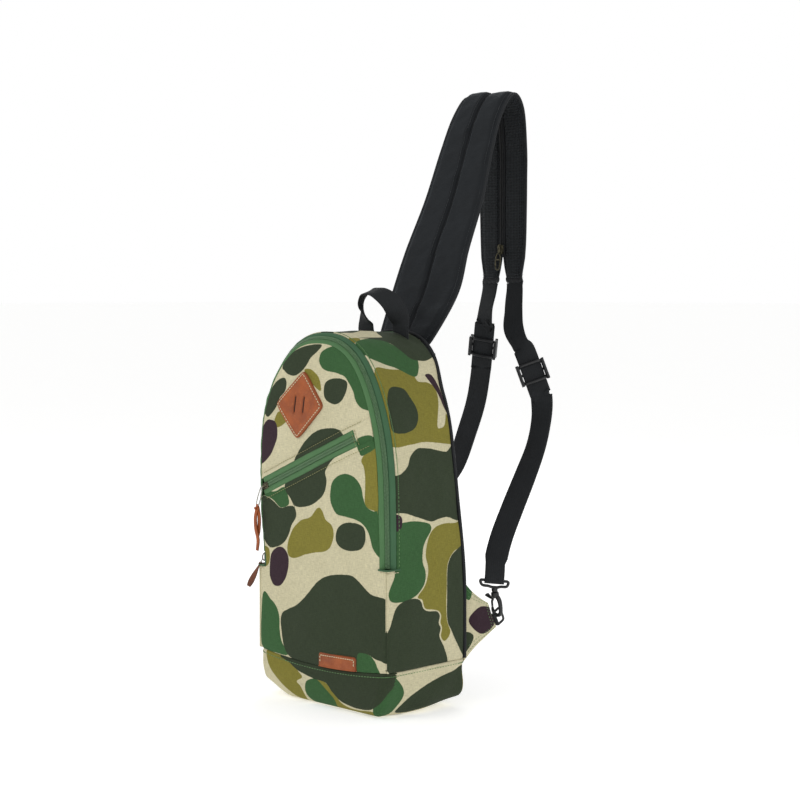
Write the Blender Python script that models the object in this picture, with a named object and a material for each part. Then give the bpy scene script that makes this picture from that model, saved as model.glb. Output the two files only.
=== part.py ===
"""Convertible sling bag: zipped front flap, diagonal pocket, padded strap that
stands up behind the bag and splits into two webbing tails with snap hooks.

Frame: +X to the right of a person looking at the front, the front faces -Y,
+Z up, origin at the centre of the flat base. Metres.
"""
import bpy
import bmesh
import math
from mathutils import Vector, Matrix

# ---------------------------------------------------------------- dimensions
HALF_W = 0.1015         # half width of the bag, outer face of the gusset
ARCH_Z = 0.235          # height where the straight sides turn into the arch
ARCH_H = 0.167          # rise of the arch above that
ARCH_N = 2.3            # the arch is a superellipse of this power
FRONT_Y = -0.0575       # front face at the base
FRONT_LEAN = 0.0050     # how far the front leans forward at the top
BACK_Y = 0.0610         # back face at the base
BACK_WAIST = 0.0180     # how far the back is drawn in above the waist
BACK_FLARE = 0.0160     # how far the strap pulls the top edge back out
BOOT_Z = 0.050          # seam between the boot and the panels
HINGE_Z = 0.157         # fold line of the front flap, at the zip's lower ends
CHAMFER = 0.0125        # the zip sits on a 45 degree corner of this size
CANVAS = 0.003          # canvas with its inner facing
GAP = 0.0004            # clearance between neighbouring pieces
ZIP_TAIL = 0.0150       # how far the left zip end runs below the fold line
DIAG = math.radians(23.0)   # slope of the pocket zip
DIAG_Z0 = 0.2663        # height of the pocket zip on the centre line
DIAG_HALF = 0.0103      # half width of the green pocket zip band
DIAG_END = 0.0610       # right end of the pocket zip
WEB_W = 0.025           # webbing width
WEB_T = 0.0014          # webbing thickness
PAD_T = 0.0074          # strap padding thickness
GLIDE_TRAVEL = 0.010    # how far a tri-glide slides each way

# ---------------------------------------------------------------- scene setup
for ob in list(bpy.data.objects):
    bpy.data.objects.remove(ob, do_unlink=True)
for col in list(bpy.data.collections):
    bpy.data.collections.remove(col)
bag = bpy.data.collections.new("sling_bag")
tools = bpy.data.collections.new("cutters")
bpy.context.scene.collection.children.link(bag)
bpy.context.scene.collection.children.link(tools)


def material(name, colour, rough, metal=0.0):
    m = bpy.data.materials.new(name)
    m.use_nodes = True
    b = m.node_tree.nodes["Principled BSDF"]
    b.inputs["Base Color"].default_value = (*colour, 1.0)
    b.inputs["Roughness"].default_value = rough
    b.inputs["Metallic"].default_value = metal
    m.diffuse_color = (*colour, 1.0)
    return m


CAMO = material("camo_canvas", (0.20, 0.21, 0.10), 0.9)
GREEN = material("zip_tape", (0.08, 0.24, 0.13), 0.8)
COIL = material("zip_coil", (0.07, 0.16, 0.09), 0.5)
BLACK = material("black_webbing", (0.02, 0.02, 0.022), 0.8)
MESH = material("black_mesh", (0.025, 0.025, 0.028), 0.85)
LEATHER = material("leather", (0.42, 0.10, 0.03), 0.6)
BROWN = material("dark_leather", (0.16, 0.06, 0.03), 0.6)
PLASTIC = material("black_plastic", (0.015, 0.015, 0.017), 0.4)
METAL = material("antique_metal", (0.24, 0.23, 0.17), 0.4, 1.0)
STEEL = material("wire", (0.55, 0.55, 0.53), 0.3, 1.0)
LINING = material("lining", (0.10, 0.12, 0.07), 0.9)
FOAM = material("foam", (0.07, 0.07, 0.07), 0.95)
BOARD = material("board", (0.12, 0.11, 0.10), 0.8)


# ---------------------------------------------------------------- helpers
def add(name, mesh, mat, smooth=True):
    ob = bpy.data.objects.new(name, mesh)
    bag.objects.link(ob)
    mesh.materials.clear()
    mesh.materials.append(mat)
    if smooth:
        mesh.shade_smooth()
        mesh.set_sharp_from_angle(angle=math.radians(35))
    return ob


def finish_bm(bm):
    bmesh.ops.remove_doubles(bm, verts=bm.verts[:], dist=1e-6)
    bmesh.ops.recalc_face_normals(bm, faces=bm.faces[:])
    mesh = bpy.data.meshes.new("m")
    bm.to_mesh(mesh)
    bm.free()
    return mesh


def loft(name, rings, mat, cyclic=False):
    """Skin between rings of equal length, capped at both ends unless cyclic."""
    bm = bmesh.new()
    rows = [[bm.verts.new(p) for p in ring] for ring in rings]
    n = len(rows[0])
    pairs = list(zip(rows, rows[1:] + ([rows[0]] if cyclic else [])))
    for a, b in pairs[:len(rows) - (0 if cyclic else 1)]:
        for i in range(n):
            j = (i + 1) % n
            bm.faces.new((a[i], a[j], b[j], b[i]))
    if not cyclic:
        bm.faces.new(rows[0][::-1])
        bm.faces.new(rows[-1])
    return add(name, finish_bm(bm), mat)


def smooth_path(points, per=6):
    """Catmull-Rom curve through the points."""
    pts = [Vector(p) for p in points]
    out = []
    for i in range(len(pts) - 1):
        p0 = pts[i - 1] if i else pts[0] * 2 - pts[1]
        p1, p2 = pts[i], pts[i + 1]
        p3 = pts[i + 2] if i + 2 < len(pts) else p2 * 2 - p1
        for k in range(per):
            t = k / per
            out.append(0.5 * ((2 * p1) + (p2 - p0) * t + (2 * p0 - 5 * p1 + 4 * p2 - p3) * t * t
                              + (3 * p1 - p0 - 3 * p2 + p3) * t ** 3))
    out.append(pts[-1])
    return out


def ribbon(name, centre, across, thick, mat):
    """Flat strip: centre points, across = half-width vectors, thick = half thickness."""
    rings = []
    for i, c in enumerate(centre):
        a, b = centre[max(i - 1, 0)], centre[min(i + 1, len(centre) - 1)]
        t = (b - a).normalized()
        w = across[i] - t * across[i].dot(t)
        n = t.cross(w).normalized() * thick
        rings.append([c - w - n, c + w - n, c + w + n, c - w + n])
    return loft(name, rings, mat)


def tube(name, points, radius, mat, cyclic=False, res=2):
    cu = bpy.data.curves.new(name, "CURVE")
    cu.dimensions = "3D"
    sp = cu.splines.new("POLY")
    sp.points.add(len(points) - 1)
    for q, p in zip(sp.points, points):
        q.co = (*p, 1.0)
    sp.use_cyclic_u = cyclic
    cu.bevel_depth = radius
    cu.bevel_resolution = res
    cu.use_fill_caps = not cyclic
    ob = bpy.data.objects.new(name, cu)
    bag.objects.link(ob)
    cu.materials.append(mat)
    return ob


def to_mesh(ob):
    """Turn a curve object into a welded mesh object of the same name."""
    dg = bpy.context.evaluated_depsgraph_get()
    mesh = bpy.data.meshes.new_from_object(ob.evaluated_get(dg))
    bm = bmesh.new()
    bm.from_mesh(mesh)
    bmesh.ops.remove_doubles(bm, verts=bm.verts[:], dist=1e-6)
    bmesh.ops.recalc_face_normals(bm, faces=bm.faces[:])
    bm.to_mesh(mesh)
    bm.free()
    name, mat, matrix = ob.name, ob.data.materials[0], ob.matrix_world.copy()
    bpy.data.objects.remove(ob, do_unlink=True)
    new = add(name, mesh, mat)
    new.matrix_world = matrix
    return new


def block(name, size, mat, matrix=None, cutter=False):
    bm = bmesh.new()
    bmesh.ops.create_cube(bm, size=1.0)
    bmesh.ops.scale(bm, vec=size, verts=bm.verts[:])
    if matrix is not None:
        bmesh.ops.transform(bm, matrix=matrix, verts=bm.verts[:])
    ob = add(name, finish_bm(bm), mat, smooth=False)
    if cutter:
        bag.objects.unlink(ob)
        tools.objects.link(ob)
        ob.hide_render = True
        ob.display_type = "WIRE"
    return ob


def rod(name, p, q, radius, mat, seg=12, cutter=False):
    p, q = Vector(p), Vector(q)
    bm = bmesh.new()
    bmesh.ops.create_cone(bm, cap_ends=True, segments=seg, radius1=radius, radius2=radius,
                          depth=(q - p).length)
    m = Matrix.Translation((p + q) / 2) @ (q - p).to_track_quat("Z", "Y").to_matrix().to_4x4()
    bmesh.ops.transform(bm, matrix=m, verts=bm.verts[:])
    ob = add(name, finish_bm(bm), mat)
    if cutter:
        bag.objects.unlink(ob)
        tools.objects.link(ob)
        ob.hide_render = True
        ob.display_type = "WIRE"
    return ob


def boolean(ob, cutter, how):
    m = ob.modifiers.new(how.lower() + str(len(ob.modifiers)), "BOOLEAN")
    m.operation = how
    m.object = cutter
    m.solver = "EXACT"
    return ob


def basis(origin, x, y, z):
    m = Matrix.Identity(4)
    for i, v in enumerate((x, y, z)):
        for r in range(3):
            m[r][i] = v[r]
    for r in range(3):
        m[r][3] = origin[r]
    return m


# ---------------------------------------------------------------- bag shape
def ease(t):
    t = min(1.0, max(0.0, t))
    return t * t * (3.0 - 2.0 * t)


def y_front(z):
    return FRONT_Y - FRONT_LEAN * ease((z - 0.10) / 0.28)


def y_back(z):
    return BACK_Y - BACK_WAIST * ease((z - 0.12) / 0.17) + BACK_FLARE * ease((z - 0.335) / 0.065)


def arch_point(t, a, b):
    """Point on the superellipse at parameter t (0 at the right, pi at the left)."""
    c, s = math.cos(t), math.sin(t)
    e = 2.0 / ARCH_N
    return a * math.copysign(abs(c) ** e, c), ARCH_Z + b * max(0.0, s) ** e


def arch_normal(x, z):
    """Inward normal of the outer outline at a point on it."""
    gx = math.copysign((abs(x) / HALF_W) ** (ARCH_N - 1) / HALF_W, x)
    gz = (max(0.0, z - ARCH_Z) / ARCH_H) ** (ARCH_N - 1) / ARCH_H
    n = Vector((-gx, -gz))
    return n.normalized() if n.length > 1e-9 else Vector((0.0, -1.0))


def arch_points(off, z_right, z_left, n_arch=30, n_side=5):
    """Outline inset by off, from the lower right, over the top, to the lower left: (x, z)."""
    return [(x + n[0] * off, z + n[1] * off) for (x, z), n in arch_outer(z_right, z_left, n_arch, n_side)]


def arch_outer(z_right, z_left, n_arch=30, n_side=5):
    """Outer outline points with their inward normals."""
    out = []
    for i in range(n_side):
        z = z_right + (ARCH_Z - z_right) * i / n_side
        out.append(((HALF_W, z), (-1.0, 0.0)))
    for i in range(n_arch + 1):
        p = arch_point(math.pi * i / n_arch, HALF_W, ARCH_H)
        n = arch_normal(*p)
        out.append((p, (n.x, n.y)))
    for i in range(1, n_side + 1):
        z = ARCH_Z + (z_left - ARCH_Z) * i / n_side
        out.append(((-HALF_W, z), (1.0, 0.0)))
    return out


def band(name, profile, mat, z_right, z_left, n_arch=30, n_side=4):
    """Sweep a profile of (offset, y) functions round the arch.
    Each profile entry is (offset inward, y as a function of the outline height)."""
    rings = []
    for (x, z), (nx, nz) in arch_outer(z_right, z_left, n_arch, n_side):
        ring = []
        for off, fy in profile:
            ring.append(Vector((x + nx * off, fy(z), z + nz * off)))
        rings.append(ring)
    return loft(name, rings, mat)


def chamfer_point(s, d):
    """Point on the zip's corner: s across it from the side, d outwards from it.
    Returns (offset inward, y offset from the front face)."""
    r = math.sqrt(0.5)
    return (s * r - d * r, CHAMFER - s * r - d * r)


def chamfer_profile(s0, s1, d0, d1):
    out = []
    for s, d in ((s0, d0), (s1, d0), (s1, d1), (s0, d1)):
        off, dy = chamfer_point(s, d)
        out.append((off, lambda z, dy=dy: y_front(z) + dy))
    return out


def panel(name, off, depth0, depth1, z0, z1, mat, on_back=False, rows=16, n_low=4):
    """Flat panel inside the arch, between two depths behind the front face
    (or in front of the back face)."""
    levels = []
    for i in range(n_low):
        levels.append((HALF_W - off, z0 + (min(ARCH_Z, z1) - z0) * i / n_low))
    for i in range(rows + 1):
        x, z = arch_point(math.radians(88.8) * i / rows, HALF_W, ARCH_H)
        n = arch_normal(x, z)
        x, z = x + n.x * off, z + n.y * off
        if z < z1:
            levels.append((x, z))
    rings = []
    for w, z in levels:
        if on_back:
            ya, yb = y_back(z) - depth1, y_back(z) - depth0
        else:
            ya, yb = y_front(z) + depth0, y_front(z) + depth1
        rings.append([Vector((-w, ya, z)), Vector((w, ya, z)), Vector((w, yb, z)), Vector((-w, yb, z))])
    return loft(name, rings, mat)


# ---------------------------------------------------------------- boot
def boot_ring(z, inset, r_front=0.0125, r_back=0.007, seg=5):
    x0, x1 = -HALF_W + inset, HALF_W - inset
    y0, y1 = y_front(z) + inset, y_back(z) - inset
    r_front, r_back = max(0.002, r_front - inset), max(0.002, r_back - inset)
    out = []
    for cx, cy, r, a0 in ((x1 - r_front, y0 + r_front, r_front, -90), (x1 - r_back, y1 - r_back, r_back, 0),
                          (x0 + r_back, y1 - r_back, r_back, 90), (x0 + r_front, y0 + r_front, r_front, 180)):
        for i in range(seg + 1):
            a = math.radians(a0 + 90 * i / seg)
            out.append(Vector((cx + r * math.cos(a), cy + r * math.sin(a), z)))
    return out


boot_rings = [boot_ring(0.0, 0.0080), boot_ring(0.0015, 0.0050), boot_ring(0.0055, 0.0028),
              boot_ring(0.013, 0.0008), boot_ring(0.024, 0.0), boot_ring(BOOT_Z - GAP, 0.0),
              boot_ring(BOOT_Z - GAP, CANVAS), boot_ring(0.024, CANVAS), boot_ring(0.013, CANVAS + 0.0008),
              boot_ring(0.0065, CANVAS + 0.0028), boot_ring(0.0030, CANVAS + 0.0055)]
loft("base_boot", boot_rings, CAMO)
loft("base_stiffener", [boot_ring(0.0036, 0.0120), boot_ring(0.0066, 0.0120)], BOARD)

# ---------------------------------------------------------------- side gusset
gusset_rings = []
stations = arch_outer(BOOT_Z, BOOT_Z, 30, 6)


def gusset_ring(x, z, nx, nz, nose_off, nose_y, ym=None):
    yb = y_back(z) - 0.0036
    ym = y_front(z) + CHAMFER + GAP if ym is None else ym
    pts = [(0.0, yb), (0.0, ym + 0.001), (nose_off, nose_y), (nose_off + 0.0018, nose_y + 0.0024),
           (CANVAS, ym + 0.004), (CANVAS, yb)]
    return [Vector((x + nx * o, y, z + nz * o)) for o, y in pts]


def low_nose(z):
    return 0.0020, y_front(z) + 0.0004


for side, zend in ((1, HINGE_Z), (-1, HINGE_Z - ZIP_TAIL)):
    lower = []
    for z in (BOOT_Z, 0.075, 0.10, 0.12, zend - 0.0012):
        lower.append(gusset_ring(side * HALF_W, z, -side, 0.0, *low_nose(z), ym=y_front(z) + 0.0032))
    for z in (zend - 0.0008, HINGE_Z + 0.01) if side == 1 else (zend - 0.0008, 0.155, HINGE_Z + 0.01):
        lower.append(gusset_ring(side * HALF_W, z, -side, 0.0, 0.0006, y_front(z) + CHAMFER + GAP))
    if side == 1:
        gusset_rings += lower
        for (x, z), (nx, nz) in arch_outer(HINGE_Z + 0.025, HINGE_Z + 0.025, 36, 4):
            gusset_rings.append(gusset_ring(x, z, nx, nz, 0.0006, y_front(z) + CHAMFER + GAP))
    else:
        gusset_rings += lower[::-1]
loft("side_gusset", gusset_rings, CAMO)

# ---------------------------------------------------------------- lining tub


def tub_front(z):
    return y_front(z) + 0.0165


def tub_back(z):
    return y_back(z) - 0.0108


T_L = 0.0008
LINING_OFF = 0.0042
tub = []
for i in range(12):
    z = 0.0165 + (ARCH_Z - 0.0165) * i / 12
    tub.append((HALF_W - LINING_OFF, z, HALF_W - LINING_OFF - T_L, z))
for i in range(21):
    x, z = arch_point(math.radians(88.5) * i / 20, HALF_W, ARCH_H)
    n = arch_normal(x, z)
    tub.append((x + n.x * LINING_OFF, z + n.y * LINING_OFF,
                x + n.x * (LINING_OFF + T_L), z + n.y * (LINING_OFF + T_L)))
rings = []
for xo, zo, xi, zi in tub:
    rings.append([Vector((-xo, tub_front(zo), zo)), Vector((-xo, tub_back(zo), zo)), Vector((xo, tub_back(zo), zo)),
                  Vector((xo, tub_front(zo), zo)), Vector((xi, tub_front(zi), zi)), Vector((xi, tub_back(zi) - T_L, zi)),
                  Vector((-xi, tub_back(zi) - T_L, zi)), Vector((-xi, tub_front(zi), zi))])
loft("lining", rings, LINING)
loft("lining_floor", [[Vector((sx * 0.0885, y, z)) for sx, y in
                       ((-1, -0.0460), (1, -0.0460), (1, 0.0490), (-1, 0.0490))] for z in (0.0072, 0.0080)], LINING)

# ---------------------------------------------------------------- back
panel("back_foam", 0.0040, 0.0038, 0.0092, BOOT_Z + 0.001, 1.0, FOAM, on_back=True, rows=18, n_low=12)
panel("back_mesh", 0.0, 0.0, 0.0024, BOOT_Z + GAP, 1.0, MESH, on_back=True, rows=18, n_low=12)

# ---------------------------------------------------------------- front, fixed part
LOW_W = HALF_W - 0.0020 - 0.0022
low_rings = []
for z in (BOOT_Z + GAP, 0.075, 0.10, 0.125, HINGE_Z - GAP):
    ya = y_front(z)
    w = LOW_W
    low_rings.append([Vector((-w, ya, z)), Vector((w, ya, z)), Vector((w, ya + 0.0025, z)), Vector((-w, ya + 0.0025, z))])
lower = loft("lower_front_panel", low_rings, CAMO)
# the left zip end runs down past the fold line, so that corner is notched
notch = block("zip_tail_notch", (0.02, 0.02, ZIP_TAIL + 0.001), CAMO,
              Matrix.Translation((-HALF_W + CHAMFER - 0.0092, FRONT_Y, HINGE_Z - ZIP_TAIL / 2 + 0.0001)), cutter=True)
boolean(lower, notch, "DIFFERENCE")

# ---------------------------------------------------------------- main zip
S_TAPE0, S_TAPE1 = 0.0008, 0.0062
S_ST0, S_ST1 = 0.0066, 0.0085
S_IN0, S_IN1 = 0.0095, 0.0114
S_IT0, S_IT1 = 0.0118, 0.0165
ZB_R, ZB_L = HINGE_Z + GAP, HINGE_Z - ZIP_TAIL + GAP
band("main_zip_outer_tape", chamfer_profile(S_TAPE0, S_TAPE1, -0.0012, 0.0), GREEN, ZB_R, ZB_L)
band("main_zip_outer_chain", chamfer_profile(S_ST0, S_ST1, -0.0011, 0.0011), COIL, ZB_R, ZB_L)
band("main_zip_inner_tape", chamfer_profile(S_IT0, S_IT1, -0.0012, 0.0), GREEN, ZB_R, HINGE_Z + GAP)
band("main_zip_inner_chain", chamfer_profile(S_IN0, S_IN1, -0.0011, 0.0011), COIL, ZB_R, HINGE_Z + GAP)
tail = []
for z in (ZB_L, HINGE_Z - GAP):
    ring = []
    for s, d in ((S_IN0, -0.0011), (S_IT1, -0.0011), (S_IT1, 0.0), (S_IN1, 0.0), (S_IN1, 0.0011), (S_IN0, 0.0011)):
        off, dy = chamfer_point(s, d)
        ring.append(Vector((-HALF_W + off, y_front(z) + dy, z)))
    tail.append(ring)
loft("main_zip_lower_tail", tail, GREEN)

# ---------------------------------------------------------------- front flap
P_OFF = CHAMFER + 0.0004
for name in ("front_panel_upper", "front_panel_lower", "pocket_end_cap"):
    panel(name, P_OFF, 0.0, 0.0025, HINGE_Z + GAP, 1.0, CAMO)
along = Vector((math.cos(DIAG), 0, math.sin(DIAG)))
perp = Vector((-math.sin(DIAG), 0, math.cos(DIAG)))
yax = Vector((0, 1, 0))
mid = Vector((0, -0.05, DIAG_Z0))
BIG = 0.5


def half_space(name, low, high, x0, x1):
    c = mid + along * ((x0 + x1) / 2) + perp * ((low + high) / 2)
    return block(name, (x1 - x0, 0.1, high - low), CAMO, basis(c, along, yax, perp), cutter=True)


END_S = DIAG_END / math.cos(DIAG)
boolean(bpy.data.objects["front_panel_upper"], half_space("cut_upper", DIAG_HALF + GAP / 2, BIG, -BIG, BIG), "INTERSECT")
boolean(bpy.data.objects["front_panel_lower"], half_space("cut_lower", -BIG, -DIAG_HALF - GAP / 2, -BIG, BIG), "INTERSECT")
boolean(bpy.data.objects["pocket_end_cap"],
        half_space("cut_cap", -DIAG_HALF + GAP / 2, DIAG_HALF - GAP / 2, END_S + GAP, BIG), "INTERSECT")


def diag_strip(name, o0, o1, d0, d1, s0, s1, mat, n=10):
    """Strip along the pocket zip: o across it, d depth behind the front face."""
    rings = []
    for i in range(n + 1):
        s = s0 + (s1 - s0) * i / n
        ring = []
        for o, d in ((o0, d0), (o1, d0), (o1, d1), (o0, d1)):
            p = mid + along * s + perp * o
            ring.append(Vector((p.x, y_front(p.z) + d, p.z)))
        rings.append(ring)
    return loft(name, rings, mat)


DS0 = -0.0862 / math.cos(DIAG)
diag_strip("pocket_zip_tape_upper", 0.0033, DIAG_HALF - GAP / 2, 0.0004, 0.0016, DS0 + 0.0048, END_S, GREEN)
diag_strip("pocket_zip_tape_lower", -DIAG_HALF + GAP / 2, -0.0033, 0.0004, 0.0016, DS0, END_S, GREEN)
diag_strip("pocket_zip_chain_upper", 0.0007, 0.0029, -0.0008, 0.0014, DS0 + 0.0020, END_S, COIL)
diag_strip("pocket_zip_chain_lower", -0.0029, -0.0007, -0.0008, 0.0014, DS0 + 0.0008, END_S, COIL)
panel("pocket_bag", 0.020, 0.0032, 0.0044, 0.166, 0.352, LINING, rows=8)
panel("flap_lining", 0.0165, 0.0048, 0.0056, HINGE_Z + 0.003, 1.0, LINING, rows=12)

# leather diamond, a rounded square on its corner, lying on the upper panel
PATCH_C = (-0.0235, 0.3228)
PATCH_R = 0.0385
rings = []
for d in (-0.0004, -0.0024):
    ring = []
    for k in range(4):
        a0 = math.radians(90 * k)
        for da in (-7, 0, 7):
            a = a0 + math.radians(da)
            r = PATCH_R * (0.985 if da == 0 else 1.0 / (math.cos(math.radians(abs(da))) + math.sin(math.radians(abs(da)))))
            x, z = PATCH_C[0] + r * math.cos(a), PATCH_C[1] + r * math.sin(a)
            ring.append(Vector((x, y_front(z) + d, z)))
    rings.append(ring)
loft("leather_patch", rings, LEATHER)

# small leather label tucked into the boot seam
rings = []
for d in (-0.0004, -0.0020):
    ring = []
    for x, z in ((0.0, 0.0515), (0.058, 0.0515), (0.0595, 0.0560), (0.0565, 0.0640), (0.0540, 0.0655),
                 (0.0045, 0.0655), (0.0020, 0.0640), (-0.0008, 0.0560)):
        ring.append(Vector((x, y_front(z) + d, z)))
    rings.append(ring)
loft("leather_label", rings, LEATHER)

# ---------------------------------------------------------------- zip sliders


def slider(name, centre, run, out, half_len, top, post, bottom, mat):
    """I-shaped slider body. run = zip direction, out = outward normal.
    top and bottom = (half width, near face, far face), post = half width."""
    cross = run.cross(out).normalized()
    (tw, t0, t1), (bw, b0, b1) = top, bottom
    prof = [(-tw, t1), (-tw, t0), (-post, t0), (-post, b1), (-bw, b1), (-bw, b0),
            (bw, b0), (bw, b1), (post, b1), (post, t0), (tw, t0), (tw, t1)]
    rings = []
    for s in (-half_len, half_len):
        rings.append([centre + run * s + cross * u + out * v for u, v in prof])
    return loft(name, rings, mat)


r = math.sqrt(0.5)
SL_Z = HINGE_Z - 0.0065
off, dy = chamfer_point((S_ST1 + S_IN0) / 2, 0.0)
MAIN_C = Vector((-HALF_W + off, y_front(SL_Z) + dy, SL_Z))
MAIN_OUT = Vector((-r, -r, 0.0))
slider("main_zip_slider", MAIN_C, Vector((0, 0, 1)), MAIN_OUT, 0.0050,
       (0.0030, 0.0016, 0.0032), 0.0003, (0.0022, -0.0026, -0.0016), METAL)
MAIN_PIV = MAIN_C + MAIN_OUT * 0.0050 + Vector((0, 0, -0.0030))
main_dir = Vector((-0.0110, -0.0085, -0.0270)).normalized()
main_w = main_dir.cross(MAIN_OUT).normalized()
pts = [MAIN_PIV + main_dir * (0.0052 + 0.0285 * i / 6) + main_w * (0.0006 * math.sin(i)) for i in range(7)]
main_flat = (MAIN_OUT - main_dir * MAIN_OUT.dot(main_dir)).normalized()
twist = [math.radians(a) for a in (0, 8, 30, 52, 68, 76, 80)]
ribbon("main_zip_pull", pts, [(main_w * math.cos(a) + main_flat * math.sin(a)) * w for a, w in
                              zip(twist, (0.0022, 0.0026, 0.0029, 0.0031, 0.0032, 0.0030, 0.0022))], 0.0009, BROWN)
ring = []
for i in range(14):
    a = 2 * math.pi * i / 14
    ring.append(MAIN_PIV + main_dir * (0.0022 - 0.0022 * math.cos(a)) + main_w * (0.0024 * math.sin(a)))
tube("main_zip_pull_ring", ring, 0.0005, STEEL, cyclic=True)

PS = -0.0830 / math.cos(DIAG)
p = mid + along * PS
POC_C = Vector((p.x, y_front(p.z) + 0.0003, p.z))
slider("pocket_zip_slider", POC_C, along, Vector((0, -1, 0)), 0.0050,
       (0.0032, 0.0016, 0.0032), 0.0003, (0.0024, -0.0026, -0.0015), METAL)
POC_PIV = POC_C + along * -0.0045 + Vector((0, -0.0052, 0))
wire_end = Vector((-0.0925, POC_PIV.y - 0.0015, POC_PIV.z - 0.0210))
wdir = (wire_end - POC_PIV).normalized()
wacross = wdir.cross(Vector((0, 1, 0))).normalized()
wl = (wire_end - POC_PIV).length
loop = []
for i in range(20):
    a = 2 * math.pi * i / 20
    loop.append(POC_PIV + wdir * (wl / 2 - wl / 2 * math.cos(a)) + wacross * (0.0030 * math.sin(a) * (0.75 + 0.25 * -math.cos(a))))
tube("pocket_pull_wire", loop, 0.0006, STEEL, cyclic=True)
thong_top = wire_end + Vector((0, 0, -0.0012))
pts = smooth_path([thong_top, thong_top + Vector((-0.0012, -0.0010, -0.010)), thong_top + Vector((-0.0004, -0.0012, -0.022)),
                   thong_top + Vector((0.0016, 0.0004, -0.034)), Vector((-0.0930, POC_PIV.y - 0.0010, 0.1590))], 3)
ribbon("pocket_pull_thong", pts, [Vector((0.0024, 0, 0))] * len(pts), 0.0009, LEATHER)

# ---------------------------------------------------------------- strap
STRAP = [(0.0610, 0.3740), (0.0660, 0.3830), (0.0730, 0.3940), (0.1030, 0.4440), (0.1230, 0.4930),
         (0.1510, 0.5510), (0.1730, 0.6100), (0.1920, 0.6520), (0.2140, 0.6760), (0.2310, 0.6600),
         (0.2370, 0.6130), (0.2370, 0.5750), (0.2370, 0.5400), (0.2370, 0.5050), (0.2365, 0.4810), (0.2360, 0.4580)]
WIDTH = [0.056, 0.066, 0.082, 0.101, 0.096, 0.089, 0.080, 0.075, 0.073, 0.072, 0.071, 0.071, 0.070, 0.068, 0.065, 0.063]
PER = 3
strap_yz = smooth_path([(0, y, z) for y, z in STRAP], PER)
strap_w = [v.x for v in smooth_path([(w, 0, 0) for w in WIDTH], PER)]
strap_n = []
for i, c in enumerate(strap_yz):
    a, b = strap_yz[max(i - 1, 0)], strap_yz[min(i + 1, len(strap_yz) - 1)]
    t = (b - a).normalized()
    strap_n.append(Vector((0, -t.z, t.y)))
SPLIT_Z = 0.4900


def falling(i):
    return strap_yz[i].y > 0.225 and strap_yz[i].z < 0.64


def inner_x(i, base):
    """Inner edge of a strap half: constant, then opening below the slider."""
    c = strap_yz[i]
    if falling(i) and c.z < SPLIT_Z:
        k = (SPLIT_Z - c.z) / 0.03
        return base + 0.0035 * min(1.0, k)
    return base


def outer_x(i):
    c = strap_yz[i]
    w = strap_w[i] / 2
    if falling(i) and c.z < SPLIT_Z - 0.005:
        w -= 0.003 * min(1.0, (SPLIT_Z - 0.005 - c.z) / 0.02)
    return w


for side, label in ((-1, "left"), (1, "right")):
    body, face, zipr = [], [], []
    for i, c in enumerate(strap_yz):
        n = strap_n[i]
        xi, xo = inner_x(i, 0.0042), outer_x(i)
        h = PAD_T / 2
        # the outer canvas and its foam, and the mesh facing on the wearer's side
        body.append([c + Vector((side * x, 0, 0)) + n * d for x, d in
                     ((xi, -h + 0.0021), (xi, h - 0.001), (xi + 0.003, h), (xo - 0.004, h), (xo, h - 0.003), (xo, -h + 0.0021))])
        face.append([c + Vector((side * x, 0, 0)) + n * d for x, d in
                     ((xi, -h + 0.0006), (xi, -h + 0.0017), (xo, -h + 0.0017), (xo - 0.002, -h), (xi + 0.002, -h))])
        zi = inner_x(i, 0.0)
        if zi < 0.004:
            zipr.append([c + Vector((side * (zi + x), 0, 0)) + n * d for x, d in
                         ((0.0005, -0.0022), (0.0037, -0.0022), (0.0037, -0.0002), (0.0005, -0.0002))])
    loft("strap_pad_" + label, body, BLACK)
    loft("strap_mesh_" + label, face, MESH)
    loft("strap_zip_" + label, zipr, BLACK)

STR_C = Vector((0, 0.2370 - 0.0012, 0.4950))
slider("strap_zip_slider", Vector((0, STR_C.y, STR_C.z)), Vector((0, 0, 1)), Vector((0, -1, 0)), 0.0055,
       (0.0036, 0.0038, 0.0056), 0.00022, (0.0036, -0.0042, -0.0030), METAL)
STR_PIV = STR_C + Vector((0, -0.0074, -0.0045))
loop = []
for i in range(18):
    a = 2 * math.pi * i / 18
    loop.append(STR_PIV + Vector((0.0036 * math.sin(a), -0.0010 * (1 - math.cos(a)), -0.0095 + 0.0095 * math.cos(a))))
tube("strap_zip_pull", loop, 0.0007, METAL, cyclic=True)

# ---------------------------------------------------------------- handle
HANDLE_Y = 0.0370
HZ = 0.4034
hp = smooth_path([(-0.0270, HANDLE_Y, HZ), (-0.0275, HANDLE_Y - 0.003, HZ + 0.0130), (-0.0235, HANDLE_Y - 0.010, HZ + 0.0290),
                  (-0.0110, HANDLE_Y - 0.016, HZ + 0.0400), (0.0, HANDLE_Y - 0.018, HZ + 0.0425), (0.0110, HANDLE_Y - 0.016, HZ + 0.0400),
                  (0.0235, HANDLE_Y - 0.010, HZ + 0.0290), (0.0275, HANDLE_Y - 0.003, HZ + 0.0130), (0.0270, HANDLE_Y, HZ)], 4)
hw = []
for i in range(len(hp)):
    f = i / (len(hp) - 1)
    g = min(1.0, max(0.0, (f - 0.05) / 0.9))
    ang = math.pi * g + 0.30 * math.sin(2 * math.pi * g)
    hw.append(Vector((math.cos(ang), -math.sin(ang), -0.30 * math.sin(ang))) * 0.0115)
ribbon("carry_handle", hp, hw, 0.0009, BLACK)

# ---------------------------------------------------------------- webbing tails
GLIDE_R, GLIDE_RT = Vector((0.0615, 0.2185, 0.3520)), Vector((0.019, 0.010, -0.057)).normalized()
GLIDE_L, GLIDE_LT = Vector((-0.0460, 0.2520, 0.3780)), Vector((-0.016, 0.012, -0.044)).normalized()


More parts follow.
